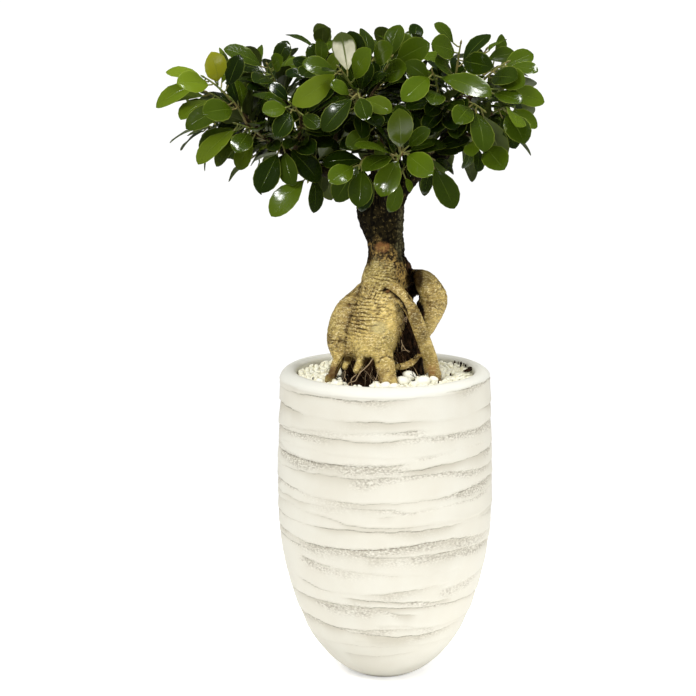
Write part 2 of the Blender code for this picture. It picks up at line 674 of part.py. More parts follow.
def blade_points(leaf, thickness, grow=0.0):
    """A leaf blade's two faces: base, stations and tip, each as points above and below."""
    start, along, normal = leaf["neck"], leaf["along"], leaf["normal"]
    side = along.cross(normal)
    length, half = leaf["blade"], leaf["width"] / 2
    up = normal * thickness / 2

    def spot(share, reach):
        rise = LEAF_ARCH * length * (4 * share * (1 - share) - share * 0.5)
        lift = rise + LEAF_FOLD * abs(reach)
        return start + along * (length * share) + normal * lift + side * reach

    neck_half = NECK_HALF_WIDTH + grow
    low, high = (half * fullness + grow for share, fullness in BLADE_STATIONS)
    (low_at, _), (high_at, _) = BLADE_STATIONS
    skin = [spot(0, -neck_half), spot(0, neck_half), spot(low_at, -low), spot(low_at, 0),
            spot(low_at, low), spot(high_at, -high), spot(high_at, high),
            spot(1 + grow / length, 0)]
    return [p + up for p in skin], [p - up for p in skin]


def blade_faces(top_first, bottom_first):
    """Faces of a blade without its neck end, from the index of each face's first corner."""
    faces = [tuple(top_first + i for i in reversed(face)) for face in BLADE_TOP]
    faces += [tuple(bottom_first + i for i in face) for face in BLADE_TOP]
    for a, b in zip(BLADE_RIM, BLADE_RIM[1:]):
        faces.append((top_first + a, top_first + b, bottom_first + b))
        faces.append((top_first + a, bottom_first + b, bottom_first + a))
    return faces


def proxy_tree(leaf):
    """A slightly swollen copy of the leaf's blade and stalk, for clearance tests."""
    top, bottom = blade_points(leaf, LEAF_THICKNESS + 2 * CLEARANCE, CLEARANCE)
    points = top + bottom
    faces = blade_faces(0, 8)
    for end in leaf["socket"]:
        points.append(end + leaf["leave"] * (SHOOT_RADIUS + 0.4))
        apex = len(points) - 1
        faces += [(0, 1, apex), (1, 9, apex), (9, 8, apex), (8, 0, apex)]
    return BVHTree.FromPolygons(points, faces, epsilon=0.0), points


def tube_tree(points, radii, sides=6):
    """A slightly swollen tube, for clearance tests."""
    corners, faces = tube(points, [r + CLEARANCE for r in radii], sides)
    return BVHTree.FromPolygons(corners, faces, epsilon=0.0), corners


class Space:
    """What already stands in the canopy, as trees with their bounding boxes."""

    def __init__(self):
        self.items = []

    def add(self, tree, points, owner):
        low = Vector([min(p[i] for p in points) for i in range(3)])
        high = Vector([max(p[i] for p in points) for i in range(3)])
        self.items.append((low, high, tree, owner))

    def hit(self, tree, points, skip):
        low = [min(p[i] for p in points) for i in range(3)]
        high = [max(p[i] for p in points) for i in range(3)]
        for a, b, other, owner in self.items:
            if owner in skip:
                continue
            if any(a[i] > high[i] or b[i] < low[i] for i in range(3)):
                continue
            if other.overlap(tree):
                return True
        return False


def bends():
    """Small turns to try, smallest first: (lift, swing, roll, length share)."""
    tries = [(0, 0, roll, 1.0) for roll in (0, 18, -18, 36, -36)]
    for size, share in ((7, 1), (13, 1), (19, 0.97), (26, 0.94), (33, 0.9), (41, 0.86), (50, 0.8)):
        for roll in (0, 24, -24):
            for k in range(8):
                turn = k * math.pi / 4
                tries.append((size * math.cos(turn), size * math.sin(turn), roll, share))
    return tries


def settle_leaf(plan, ring, wish, shoot, space, tries):
    """A leaf as near to its wish as the space allows, or None."""
    centres, radii, frames = shoot
    foot = (centres[ring] + centres[ring + 1]) / 2
    shoot_along = frames[ring][0]
    along, normal = leaf_axes(foot, wish)
    side = along.cross(normal)
    full = (wish["goal"] - foot).length
    full = min(max(full, LEAF_REACH[0]), LEAF_REACH[1])
    for lift, swing, roll, share in tries:
        turned = Matrix.Rotation(math.radians(lift), 3, side) @ Matrix.Rotation(
            math.radians(swing), 3, normal)
        way = turned @ along
        if shoot_along.angle(way) < math.radians(LEAST_ANGLE_TO_SHOOT):
            continue
        face = Matrix.Rotation(math.radians(roll), 3, way) @ turned @ normal
        leave = way - shoot_along * way.dot(shoot_along)
        leave.normalize()
        neck = foot + leave * (SHOOT_RADIUS + PETIOLE * 0.35) + way * PETIOLE * 0.65
        blade = full * share - PETIOLE
        width = min(wish["width"], blade * 0.66)
        leaf = {"foot": foot, "neck": neck, "along": way, "normal": face, "blade": blade,
                "width": width, "ring": ring, "leave": leave,
                "socket": (centres[ring], centres[ring + 1])}
        tree, points = proxy_tree(leaf)
        if not space.hit(tree, points, {plan["name"]}):
            space.add(tree, points, plan["name"] + "_leaf")
            return leaf
    return None


def plan_canopy():
    """Every spray with its twig, shoot and settled leaves."""
    anchors = bough_points()
    space = Space()
    for points in BOUGHS.values():
        path, radii = smooth_path(points, 3)
        space.add(*tube_tree(path, radii), "wood")
    trunk_path, trunk_radii = smooth_path(LIMBS["trunk"], 2)
    space.add(*tube_tree(trunk_path, trunk_radii, 10), "wood")
    plans = front_plan() + ruled_plan()
    for plan in plans:
        centres, radii = shoot_rings(plan)
        frames = path_frames(centres)
        plan["shoot"] = (centres, radii, frames)
        seat = plan["base"] - frames[0][0] * FIT_GAP
        plan["twig"] = twig_to(seat, frames[0][0], anchors)
        bud = centres[-1] + frames[-1][0] * BUD_LENGTH
        space.add(*tube_tree([*centres, bud], [*radii, 0.2]), plan["name"])
        space.add(*tube_tree(*plan["twig"]), "wood")
    tries = bends()
    for plan in plans:
        plan["leaves"] = []
        for i, wish in enumerate(plan["wishes"]):
            leaf = settle_leaf(plan, i + 1, wish, plan["shoot"], space, tries)
            plan["leaves"].append(leaf)
    return plans


# Sprays


def bridge(ring_a, ring_b):
    """Faces between two loops of four corners, turned to the shortest match."""
    best = min(range(4), key=lambda s: sum(
        (ring_a[i][1] - ring_b[(i + s) % 4][1]).length for i in range(4)))
    a = [corner[0] for corner in ring_a]
    b = [ring_b[(i + best) % 4][0] for i in range(4)]
    return [(a[i], a[(i + 1) % 4], b[(i + 1) % 4], b[i]) for i in range(4)]


def build_spray(plan, finish):
    """One shoot and its leaves in one skin: each leaf grows out of a side of the shoot."""
    centres, radii, frames = plan["shoot"]
    corners, faces = tube(centres, radii, SHOOT_SIDES)
    opened = set()
    for leaf in plan["leaves"]:
        if leaf is None:
            continue
        first_side = 1 + SHOOT_SIDES * leaf["ring"]

        def outlook(index):
            middle = sum((corners[i] for i in faces[index]), Vector()) / 4
            centre = (centres[leaf["ring"]] + centres[leaf["ring"] + 1]) / 2
            return (middle - centre).normalized().dot(leaf["leave"])

        chosen = max(range(first_side, first_side + SHOOT_SIDES), key=outlook)
        opened.add(chosen)
        top, bottom = blade_points(leaf, LEAF_THICKNESS)
        first = len(corners)
        corners += top + bottom
        neck = [(i, corners[i]) for i in (first, first + 1, first + 9, first + 8)]
        socket = [(i, corners[i]) for i in faces[chosen]]
        faces += bridge(socket, neck)
        faces += blade_faces(first, first + 8)
    end_cap = 1 + SHOOT_SIDES * (len(centres) - 1)
    tip_ring = faces[end_cap]
    opened.add(end_cap)
    corners.append(centres[-1] + frames[-1][0] * BUD_LENGTH)
    apex = len(corners) - 1
    faces += [(tip_ring[i], tip_ring[(i + 1) % SHOOT_SIDES], apex) for i in range(SHOOT_SIDES)]
    kept = [face for i, face in enumerate(faces) if i not in opened]
    return add_object(plan["name"], corners, kept, finish)


def main():
    clear_scene()
    canopy = plan_canopy()
    build_pot(material("planter_stoneware", (0.86, 0.83, 0.76), 0.75))
    build_soil(material("potting_soil", (0.06, 0.04, 0.03), 0.95))
    build_pebbles(material("white_pebbles", (0.85, 0.82, 0.72), 0.6))
    build_trunk(canopy, material("ginseng_bark", (0.42, 0.32, 0.16), 0.65))
    leaf_green = material("leaf_green", (0.09, 0.2, 0.02), 0.3)
    for plan in canopy:
        build_spray(plan, leaf_green)


main()
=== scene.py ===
"""Ginseng fig in a tall ridged planter: finer pieces, finishes, light and camera.

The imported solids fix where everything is. Each leafy spray, the root, the soil, the pebbles and the
planter is replaced by a finer piece in the same place. Sizes are written in millimetres and turned
into metres by MM.
"""

import json
import math
import random

import bmesh
import bpy
import numpy as np
from mathutils import Matrix, Vector, noise
from mathutils.bvhtree import BVHTree
from mathutils.kdtree import KDTree

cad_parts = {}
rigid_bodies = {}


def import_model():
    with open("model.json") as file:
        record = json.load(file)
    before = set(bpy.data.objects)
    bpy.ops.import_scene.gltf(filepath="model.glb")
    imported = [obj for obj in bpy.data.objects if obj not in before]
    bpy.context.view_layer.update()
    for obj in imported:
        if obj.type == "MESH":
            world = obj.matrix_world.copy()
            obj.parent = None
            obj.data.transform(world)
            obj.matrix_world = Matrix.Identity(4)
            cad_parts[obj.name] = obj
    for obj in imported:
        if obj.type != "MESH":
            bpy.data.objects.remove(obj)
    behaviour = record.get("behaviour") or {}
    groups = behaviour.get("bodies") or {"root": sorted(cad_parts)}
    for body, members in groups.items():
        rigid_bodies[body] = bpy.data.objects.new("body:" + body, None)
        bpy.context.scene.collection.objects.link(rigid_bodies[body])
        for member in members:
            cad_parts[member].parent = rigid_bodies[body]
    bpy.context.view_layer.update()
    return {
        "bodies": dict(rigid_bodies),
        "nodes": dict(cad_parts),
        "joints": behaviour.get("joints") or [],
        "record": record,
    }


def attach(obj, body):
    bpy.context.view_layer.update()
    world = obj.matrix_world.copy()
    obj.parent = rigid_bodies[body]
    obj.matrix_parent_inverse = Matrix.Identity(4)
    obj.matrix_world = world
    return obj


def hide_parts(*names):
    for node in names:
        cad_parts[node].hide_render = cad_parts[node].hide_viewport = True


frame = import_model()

MM = 0.001
UP = Vector((0, 0, 1))
FIT_GAP = 0.3
GOLDEN_ANGLE = math.radians(137.5)
SEED = 7

# Planter: outlines are (height, radius) points
FLOOR_THICKNESS = 16
POT_OUTLINE = ((0, 34), (9, 51), (27, 71), (55, 91), (100, 109), (150, 121), (200, 126),
               (255, 126), (310, 124.5), (352, 123))
LIP = ((356, 123.5), (361.5, 121), (365, 116.5), (366, 112), (365, 107.5), (361.5, 104.5),
       (352, 104.5))
POT_INSIDE = ((320, 107.5), (200, 109), (110, 94), (50, 71), (FLOOR_THICKNESS, 42))
POT_COLUMNS = 264
POT_ROW_STEP = 1.32
POT_SWELL = 0.7
NOISE_RADIUS = 125
# The lip is painted a lighter cream, partly its own cleaner tone and partly painted light on its
# shaded sides: heights where that begins and is complete
LIP_CREAM_AND_LIGHT = (352, 360)
LEDGES_FULL_ABOVE = 90
BAND_SWELL = 0.5
BAND_FADE = 8
PIT_DEPTH = 1.3
RECESS_DEPTH = 1.3
RECESS_REACH = 8
# A ledge that spans fewer degrees than OPEN_LEDGE fades out over LEDGE_END degrees at its ends, and
# a longer one goes on round the planter
OPEN_LEDGE = 110
LEDGE_END = 9
# Ledges of the planter's bands. Each: depth, grit, then (angle, height) points, where angle 0 is the
# front and 90 the right side
LEDGES = (
    (0.5, 0.2, ((-80, 357), (-63, 357), (-50, 359))),
    (0.9, 0.5, ((-82, 350), (-48, 352), (-9, 353), (16, 356), (42, 359), (64, 360))),
    (1.0, 0.3, ((-64, 331), (-51, 327), (-41, 329), (-29, 328), (-6, 329), (38, 327), (63, 330))),
    (0.7, 0.8, ((-80, 305), (-59, 310), (-45, 311), (-33, 315), (-29, 312), (-7, 316), (24, 318))),
    (0.35, 0.2, ((-80, 288), (-42, 291), (-30, 288), (-2, 287), (16, 287))),
    (0.8, 0.9, ((12, 286), (28, 288), (42, 290), (69, 291))),
    (0.9, 0.9, ((-92, 286), (-57, 279), (-40, 276), (-21, 277), (16, 281))),
    (1.0, 1.0, ((-24, 276), (-18, 271), (13, 271), (27, 275), (50, 279), (100, 283))),
    (0.7, 0.7, ((-54, 260), (-30, 264), (15, 266), (36, 266), (50, 264), (73, 261))),
    (1.0, 1.0, ((-62, 242), (-45, 237), (-21, 235), (6, 234), (24, 238), (55, 243), (73, 245))),
    (0.6, 0.6, ((-63, 228), (-48, 227), (3, 228), (13, 224), (39, 230), (53, 228), (73, 234))),
    (0.5, 0.1, ((-11, 218), (10, 221))),
    (1.0, 0.4, ((-63, 220), (-51, 218), (-32, 215), (-16, 209), (4, 206), (30, 210), (51, 207))),
    (1.0, 0.8, ((-61, 184), (-46, 181), (-18, 178), (0, 181), (29, 188), (39, 188), (66, 181))),
    (0.9, 0.7, ((-18, 171), (18, 172), (40, 173), (90, 166))),
    (1.0, 1.0, ((-58, 162), (-43, 158), (-25, 154), (7, 149), (50, 148))),
    (0.8, 0.5, ((-63, 131), (-42, 125), (-30, 124), (0, 126), (16, 129), (42, 136))),
    (0.9, 0.9, ((-28, 119), (-3, 118), (9, 113), (29, 113), (46, 112))),
    (0.6, 0.8, ((28, 123), (44, 127), (80, 139))),
    (0.8, 0.9, ((-53, 107), (-28, 105), (-3, 104), (8, 99), (23, 98))),
    (0.5, 0.7, ((-13, 84), (14, 84), (21, 79), (39, 78))),
    (1.0, 0.5, ((-55, 82), (-27, 75), (-3, 69), (27, 70), (60, 76))),
    (0.7, 0.3, ((-29, 63), (-12, 61), (29, 61))),
    (0.5, 0.2, ((-40, 41), (-5, 42), (29, 46))),
    (0.8, 0.8, ((100, 312), (150, 304), (200, 309), (250, 302))),
    (0.9, 0.6, ((118, 206), (160, 200), (215, 208), (262, 200))),
    (0.8, 0.9, ((95, 168), (140, 160), (190, 165), (235, 176))),
    (0.9, 0.8, ((85, 106), (140, 112), (200, 103), (270, 110))),
    (0.7, 0.5, ((92, 80), (150, 74), (210, 83), (275, 76))),
    (0.5, 0.3, ((110, 55), (170, 50), (240, 56))),
)

# Soil and pebbles
SOIL_LEVEL = 349
SOIL_WALL = ((FLOOR_THICKNESS + 2, 41), (50, 70), (110, 93), (200, 108), (330, 103.6))
# The soil's rings lie round the root: their middle, and their reach in x and y
MOUND_MIDDLE = (4, -8)
MOUND_RADIUS = (53, 38)
# Heaps of soil under the root. Each: x, y, reach in x, reach in y, height
SOIL_HEAPS = ((4, -8, 53, 38, 15), (-24, -44, 44, 34, 17), (26, -28, 32, 26, 15),
              (-40, -20, 34, 30, 12), (-32, -70, 38, 36, 9))
SOIL_RADIUS = 104.5
SOIL_SIDES = 96
# Soil up to this far above its level lies under fine grit
GRAVEL_RISE = 3
GRIT_DEPTH = 6.5
# The root's feet in the soil: x, y, radius
FEET = ((-66, -48, 4.2), (2, -61, 10.5), (58, -29, 7), (45, 8, 5.5), (-26, 14, 8), (6, 17, 7),
        (20, -14, 6.5))
# Each foot's post reaches this far above and below the soil's level
FOOT_RISE, FOOT_DEPTH = 16, 12
PEBBLE_CELL = 4
PEBBLE_LAYERS = (355.5, 358.6)
PEBBLE_SPACING = 3.9
PEBBLE_SMALL, PEBBLE_LARGE = 2.7, 4.0
# Pebbles keep off heaps higher than this, and this far from the feet and the planter's wall
PEBBLE_RISE = 4
FOOT_GAP = 2.5
WALL_GAP = 3
# Large white stones by the root: x, y, z, radius
WHITE_STONES = ((19, -57, 364, 7.0), (27, -40, 367, 7.2), (42, -56, 364, 8.2), (-57, -68, 362, 6.0),
                (-1, -77, 362, 6.0), (-11, -79, 362, 4.5), (9, -80, 362, 5.0), (55, -45, 363, 4.8),
                (33, -66, 362, 4.2), (-76, -50, 362, 4.4))
# Chips of bark on the gravel, and small dark crumbs along the wall at the back right: x, y, z,
# length
BARK_CHIPS = ((97, 5, 362.5, 14), (100, 18, 362.5, 6), (96, 36, 362, 3), (-30, -66, 360, 6),
              (60, -60, 361, 3), (-84, -38, 361, 2.5), (76, -14, 361, 2.5),
              (94, 42, 362, 2), (91, 47, 362.5, 2.6), (88, 53, 362, 1.8), (84, 58, 362, 2.2),
              (90, 38, 361.5, 1.6), (82, 49, 361.5, 1.6))

# Ginseng root: limbs as (x, y, z, radius) points, blended into one body
LIMBS = {
    "trunk": ((-5, 0, 574, 25), (-6, 0, 550, 28), (-3, -2, 530, 23.5), (-1, -4, 511, 20),
              (-1, -6, 493, 21.5), (-3, -10, 473, 25), (-6, -14, 450, 28), (-12, -18, 422, 31),
              (-15, -19, 402, 29)),
    "trunk_rib": ((7, -8, 560, 15), (9, -6, 524, 12), (12, -6, 495, 12), (14, -10, 471, 11)),
    "belly": ((-4, -22, 442, 20), (-10, -28, 416, 25), (-16, -29, 397, 24), (-11, -27, 388, 20)),
    "left_lobe": ((-24, -6, 459, 11), (-40, -6, 442, 13), (-50, -8, 424, 15), (-53, -11, 402, 16),
                  (-50, -14, 386, 13.5)),
    "left_leg": ((-52, -22, 386, 7.6), (-60, -38, 370, 5.8), (-66, -48, 354, 4.6)),
    "front_leg": ((-6, -36, 398, 13), (-1, -50, 379, 11.5), (2, -61, 358, 11)),
    "stub_root": ((-27, -42, 384, 7), (-33.5, -58, 375, 4.7)),
    "right_leg": ((0, -30, 472, 10), (16, -38, 460, 9), (31, -41, 439, 8.3), (41, -39, 413, 8.6),
                  (50, -34, 388, 8.6), (58.5, -29, 357, 7.3)),
    "loop_root": ((14, 4, 472, 10), (32, 5, 470.5, 12.5), (47, 4, 465, 15), (55.5, 2, 448, 16.6),
                  (51, 3, 432, 16.8), (46, 5, 415, 12.8), (43, 7, 399, 8.5), (45, 8, 356, 6)),
    "root_mat": ((14, -14, 446, 7), (21, -13, 424, 8), (25, -14, 404, 9), (24, -15, 384, 10),
                 (20, -14, 358, 6.5)),
    "back_lobe": ((2, 0, 468, 16), (-4, 6, 442, 20), (-12, 9, 414, 22), (-22, 12, 390, 16),
                  (-26, 14, 356, 9)),
    "back_leg": ((4, 4, 404, 12), (6, 13, 380, 9), (6, 17, 356, 8)),
}
LIMB_SIDES = 14

# Boughs as (x, y, z, radius) points, sunk into the trunk at their lower ends
BOUGHS = {
    "right": ((4, 0, 552, 13), (26, -8, 588, 10), (58, -16, 612, 8.5), (82, -18, 640, 6.5),
              (90, -20, 668, 4.5)),
    "left": ((-10, 0, 550, 12), (-40, -12, 586, 9), (-84, -22, 606, 7), (-122, -30, 628, 5),
             (-146, -34, 648, 3.5)),
    "left_high": ((-34, -10, 582, 7), (-58, 2, 620, 6), (-90, 6, 652, 5), (-116, 4, 676, 3.5)),
    "middle": ((-4, -2, 556, 11), (-10, -14, 600, 8), (-18, -24, 640, 6.5), (-26, -34, 676, 4)),
    "right_high": ((66, -17, 620, 6), (76, -4, 654, 5), (84, 0, 690, 3.5)),
    "front": ((0, -6, 548, 10), (4, -44, 578, 7), (3, -70, 598, 5), (-2, -82, 610, 3.5)),
    "back": ((0, 8, 550, 12), (8, 48, 586, 8.5), (16, 84, 618, 6), (28, 104, 652, 3.5)),
    "back_left": ((-4, 6, 556, 9), (-50, 44, 598, 7), (-96, 66, 626, 5), (-130, 76, 656, 3.5)),
    "back_right": ((8, 44, 582, 7), (50, 66, 612, 6), (90, 70, 640, 4.5), (108, 66, 666, 3.5)),
}
TWIG_RADIUS = 1.7
TWIG_STEPS = (0, 0.5, 0.8, 1)
SHOOT_RADIUS = 1.5
SHOOT_TIP_RADIUS = 0.9
BUD_LENGTH = 5
BARK_VOXEL = 1.4
BARK_SMOOTHING = 4
BARK_SIDES = 16
BARK_FROM = 487
BARK_FADE = 40
WRINKLE_DEPTH = 0.9
STEM_SIDES = 8
PETIOLE_SIDES = 5
FIBRE_SIDES = 5
# Limbs of the fine skin that the solids leave out: they round off the folds, fill the space
# behind the loop root with dark root, whose darkness there is partly painted shade, and lay a
# curled root on the soil
FILLING_LIMBS = {
    "lobe_join": ((-20, -8, 466, 6), (-32, -10, 446, 9.5), (-41, -14, 424, 12), (-43, -17, 402, 12.5),
                  (-40, -19, 386, 9)),
    "belly_side": ((4, -18, 452, 8), (8.5, -22, 440, 11), (10.5, -23, 427, 12.3), (7.5, -22, 412, 12),
                   (4, -20, 397, 11)),
    "back_knot": ((10, 12, 498, 10), (20, 14, 482, 11.5), (26, 15, 464, 11.5), (25, 13, 446, 9.5)),
    "back_spur": ((26, 15, 472, 9), (37, 14, 457, 8.5)),
    "mat_side": ((30, -6, 432, 5), (33, -8, 404, 7), (34, -8, 384, 9), (37, -8, 360, 9)),
    "second_stub": ((-43, -38, 384, 5), (-47, -50, 377, 3.7)),
    "low_mat": ((-44, -22, 372, 9), (-30, -26, 370, 11), (-14, -30, 369, 11), (0, -30, 366, 9)),
    "curled_root": ((12, -34, 374, 4), (22, -36, 376, 4.2), (31, -34, 380, 4), (38, -30, 387, 3)),
}
# The fibrous root mat is dark; behind the loop root the same dark colour is partly painted shade
FIBROUS_AND_SHADE_LIMBS = ("root_mat", "back_knot", "back_spur", "mat_side", "low_mat")
# Folds in the root's front. Each: depth, half width, darkness of the painted shade in the fold,
# then (x, z) points as they show
FOLDS = (
    (1.6, 2.2, 0.42, ((-28, 470), (-32, 456), (-37, 438), (-44, 418), (-47, 400), (-47, 384))),
    (5.0, 1.6, 1.7, ((1, 458), (8.4, 452.5), (14, 448), (19, 442), (23, 434), (25, 426),
                     (26, 418))),
    (1.6, 3.0, 0.3, ((-13, 456), (-10, 440), (-7, 433), (-10, 421))),
    (8.0, 3.8, 1.9, ((25, 500), (28, 489), (29.5, 479), (29.5, 466), (31, 456), (34, 450))),
    (2.5, 2.2, 0.6, ((-44, 443), (-41, 440))),
    (3.0, 2.4, 0.8, ((-2, 459), (3, 456))),
    (2.0, 1.3, 0.6, ((-9, 371), (-6, 378), (2, 381), (11, 377))),
)
# Patches of even cross ribs. Each: x, z, reach in x, reach in z, step, depth
RIBBED_PATCHES = ((-25, 424, 19, 30, 4.6, 1.5), (-3, 477, 24, 15, 3.5, 1.4),
                  (-8, 450, 18, 18, 4.2, 1.1), (42, 420, 12, 46, 4.2, 0.6),
                  (52, 446, 14, 28, 4.8, 0.5), (-52, 420, 9, 34, 5.2, 0.5), (0, 497, 20, 10, 3, 1.3))
# Rusty and pale patches, and shaded patches of painted shade where the root lies in shadow: x,
# z, reach in x, reach in z, strength
RUSTY_PATCHES = ((-5, 509, 14, 9, 1), (54, 364, 9, 13, 1), (-62, 361, 14, 13, 1),
                 (2, 457, 4, 3.5, 1), (-43, 441, 5, 4, 0.8), (49, 392, 6, 6, 0.5))
# The pale patch at (17, 428) is painted light on the belly's right side, which turns from the lamps
PALE_PATCHES = ((17, 505, 7, 18, 1), (18, 536, 6, 22, 0.8), (-7, 414, 11, 9, 1),
                (17, 428, 6, 15, 0.5))
SHADED_PATCHES = ((37, 473, 9, 16, 1), (46, 475, 12, 14, 0.55), (29, 462, 5, 9, 1),
                  (27, 497, 7, 10, 1), (51, 483, 14, 5, 0.65), (31, 476, 6, 12, 1),
                  (3, 366, 12, 13, 0.3), (-20, 500, 5, 14, 0.8), (35, 424, 9, 14, 0.5),
                  (44, 404, 9, 16, 0.5), (50, 384, 10, 16, 0.45), (40, 440, 7, 12, 0.5),
                  (4, 392, 12, 8, 0.2), (-63, 359, 13, 14, 0.55), (-40, 462, 8, 12, 0.33),
                  (-44, 377.5, 7, 5, 1), (-20, 374, 9, 6, 1))
# The root's skin darkens in patches near the soil: heights where that begins and is complete
LOW_SKIN_DARKENING = (388, 356)

# Leaves
LEAF_LENGTH = 50
LEAF_WIDTH = 31
LEAF_REACH = (26, 72)
LEAF_THICKNESS = 0.8
PETIOLE = 8
PETIOLE_RADII = (1.1, 0.95, 0.9, 0.6)
LEAF_ARCH = 0.07
LEAF_FOLD = 0.20
# The plain blade that clearance is tested with: stations along it, its corners and its rim
BLADE_STATIONS = ((0.38, 0.93), (0.76, 0.80))
BLADE_TOP = ((0, 2, 3), (0, 3, 1), (1, 3, 4), (2, 5, 3), (3, 5, 6), (3, 6, 4), (5, 7, 6))
BLADE_RIM = (0, 2, 5, 7, 6, 4, 1)
NECK_HALF_WIDTH = 1.1
CLEARANCE = 0.5
LEAST_ANGLE_TO_SHOOT = 28
# The blade's half width at each share of its length
BLADE_OUTLINE = ((0, 0.06), (0.08, 0.24), (0.22, 0.58), (0.4, 0.9), (0.56, 1.0), (0.7, 0.96),
                 (0.8, 0.85), (0.89, 0.63), (0.96, 0.34), (1, 0.02))
BLADE_SHARES = (0, 0.08, 0.22, 0.4, 0.6, 0.77, 0.89, 0.96, 1)
BLADE_ACROSS = (-1, -0.5, 0, 0.5, 1)
# The finer blades are a little narrower than the plain ones
LEAF_SLIMMING = (0.87, 0.98)
# Young leaves, which are lighter and yellower, and lit leaves painted the same way as painted
# light, by where their tips show on the front elevation: x, z, reach, youth
YOUNG_AND_LIT_LEAVES = ((-252, 716, 12, 0.5), (-239, 702, 14, 0.42), (-201, 733, 16, 0.6),
                (-215, 607, 16, 0.38), (-192, 603, 12, 0.34), (-165, 599, 12, 0.34),
                (-262, 680, 18, 0.32), (-237, 665, 16, 0.25),
                (-55, 733, 20, 0.35), (-104, 675, 20, 0.5), (5, 667, 18, 0.35))
YOUTH_ELSEWHERE = 0.1
# Leaves whose tips lie deeper than this behind the trunk's plane are grown ones
GROWN_BEHIND = 20
# Places of painted shade in the crown, where leaves are painted darker, by where a leaf's
# middle shows: x, z, reach in x, reach in z, strength
SHADED_LEAVES = ((-30, 738, 12, 12, 0.9), (-164, 734, 15, 9, 0.9), (76, 707, 32, 19, 0.8),
                 (137, 691, 15, 12, 0.8), (-45, 640, 75, 50, 0.4),
                 (60, 660, 26, 18, 0.9), (-17, 574, 14, 14, 0.7), (-24, 644, 18, 16, 0.7),
                 (-8, 704, 26, 15, 0.9), (-162, 696, 20, 10, 0.9), (-92, 707, 32, 14, 0.9),
                 (-140, 597, 14, 14, 0.95), (-85, 613, 34, 24, 0.95), (-88, 566, 13, 13, 0.7),
                 (-70, 668, 24, 18, 0.8), (-168, 672, 16, 15, 0.9))
# Leaves whose undersides catch the light, with a painted glare on them: x, z, reach
BRIGHT_UNDERSIDES = ((-50, 752, 16),)
# Leaves that the solids leave out, inside the crown: their greatest bend away from the wish, how
# many are tried on each stem, and how light they are painted beside the outer ones, which is
# painted shade inside the crown
INNER_BEND = 34
INNER_ON_SHOOT = 8
INNER_ON_TWIG = 30
INNER_SHADE_TINT = 0.2
# Spots where the crown would show the wall behind: x, z
SEE_THROUGH = ((-38, 615), (-80, 618))
LEAVES_ON_SPOT = 2
# No leaf tip rises above this height
CROWN_TOP = 767.5
CROWN_CENTRE = Vector((-40, 0, 668))
CROWN_RADII = (188, 118, 72)

# The front sprays are laid out on a front elevation, seen from this point: x and z are where a
# point shows on the trunk's plane, and depth is how far behind that plane it lies.
EYE = Vector((-42, -2700, 900))
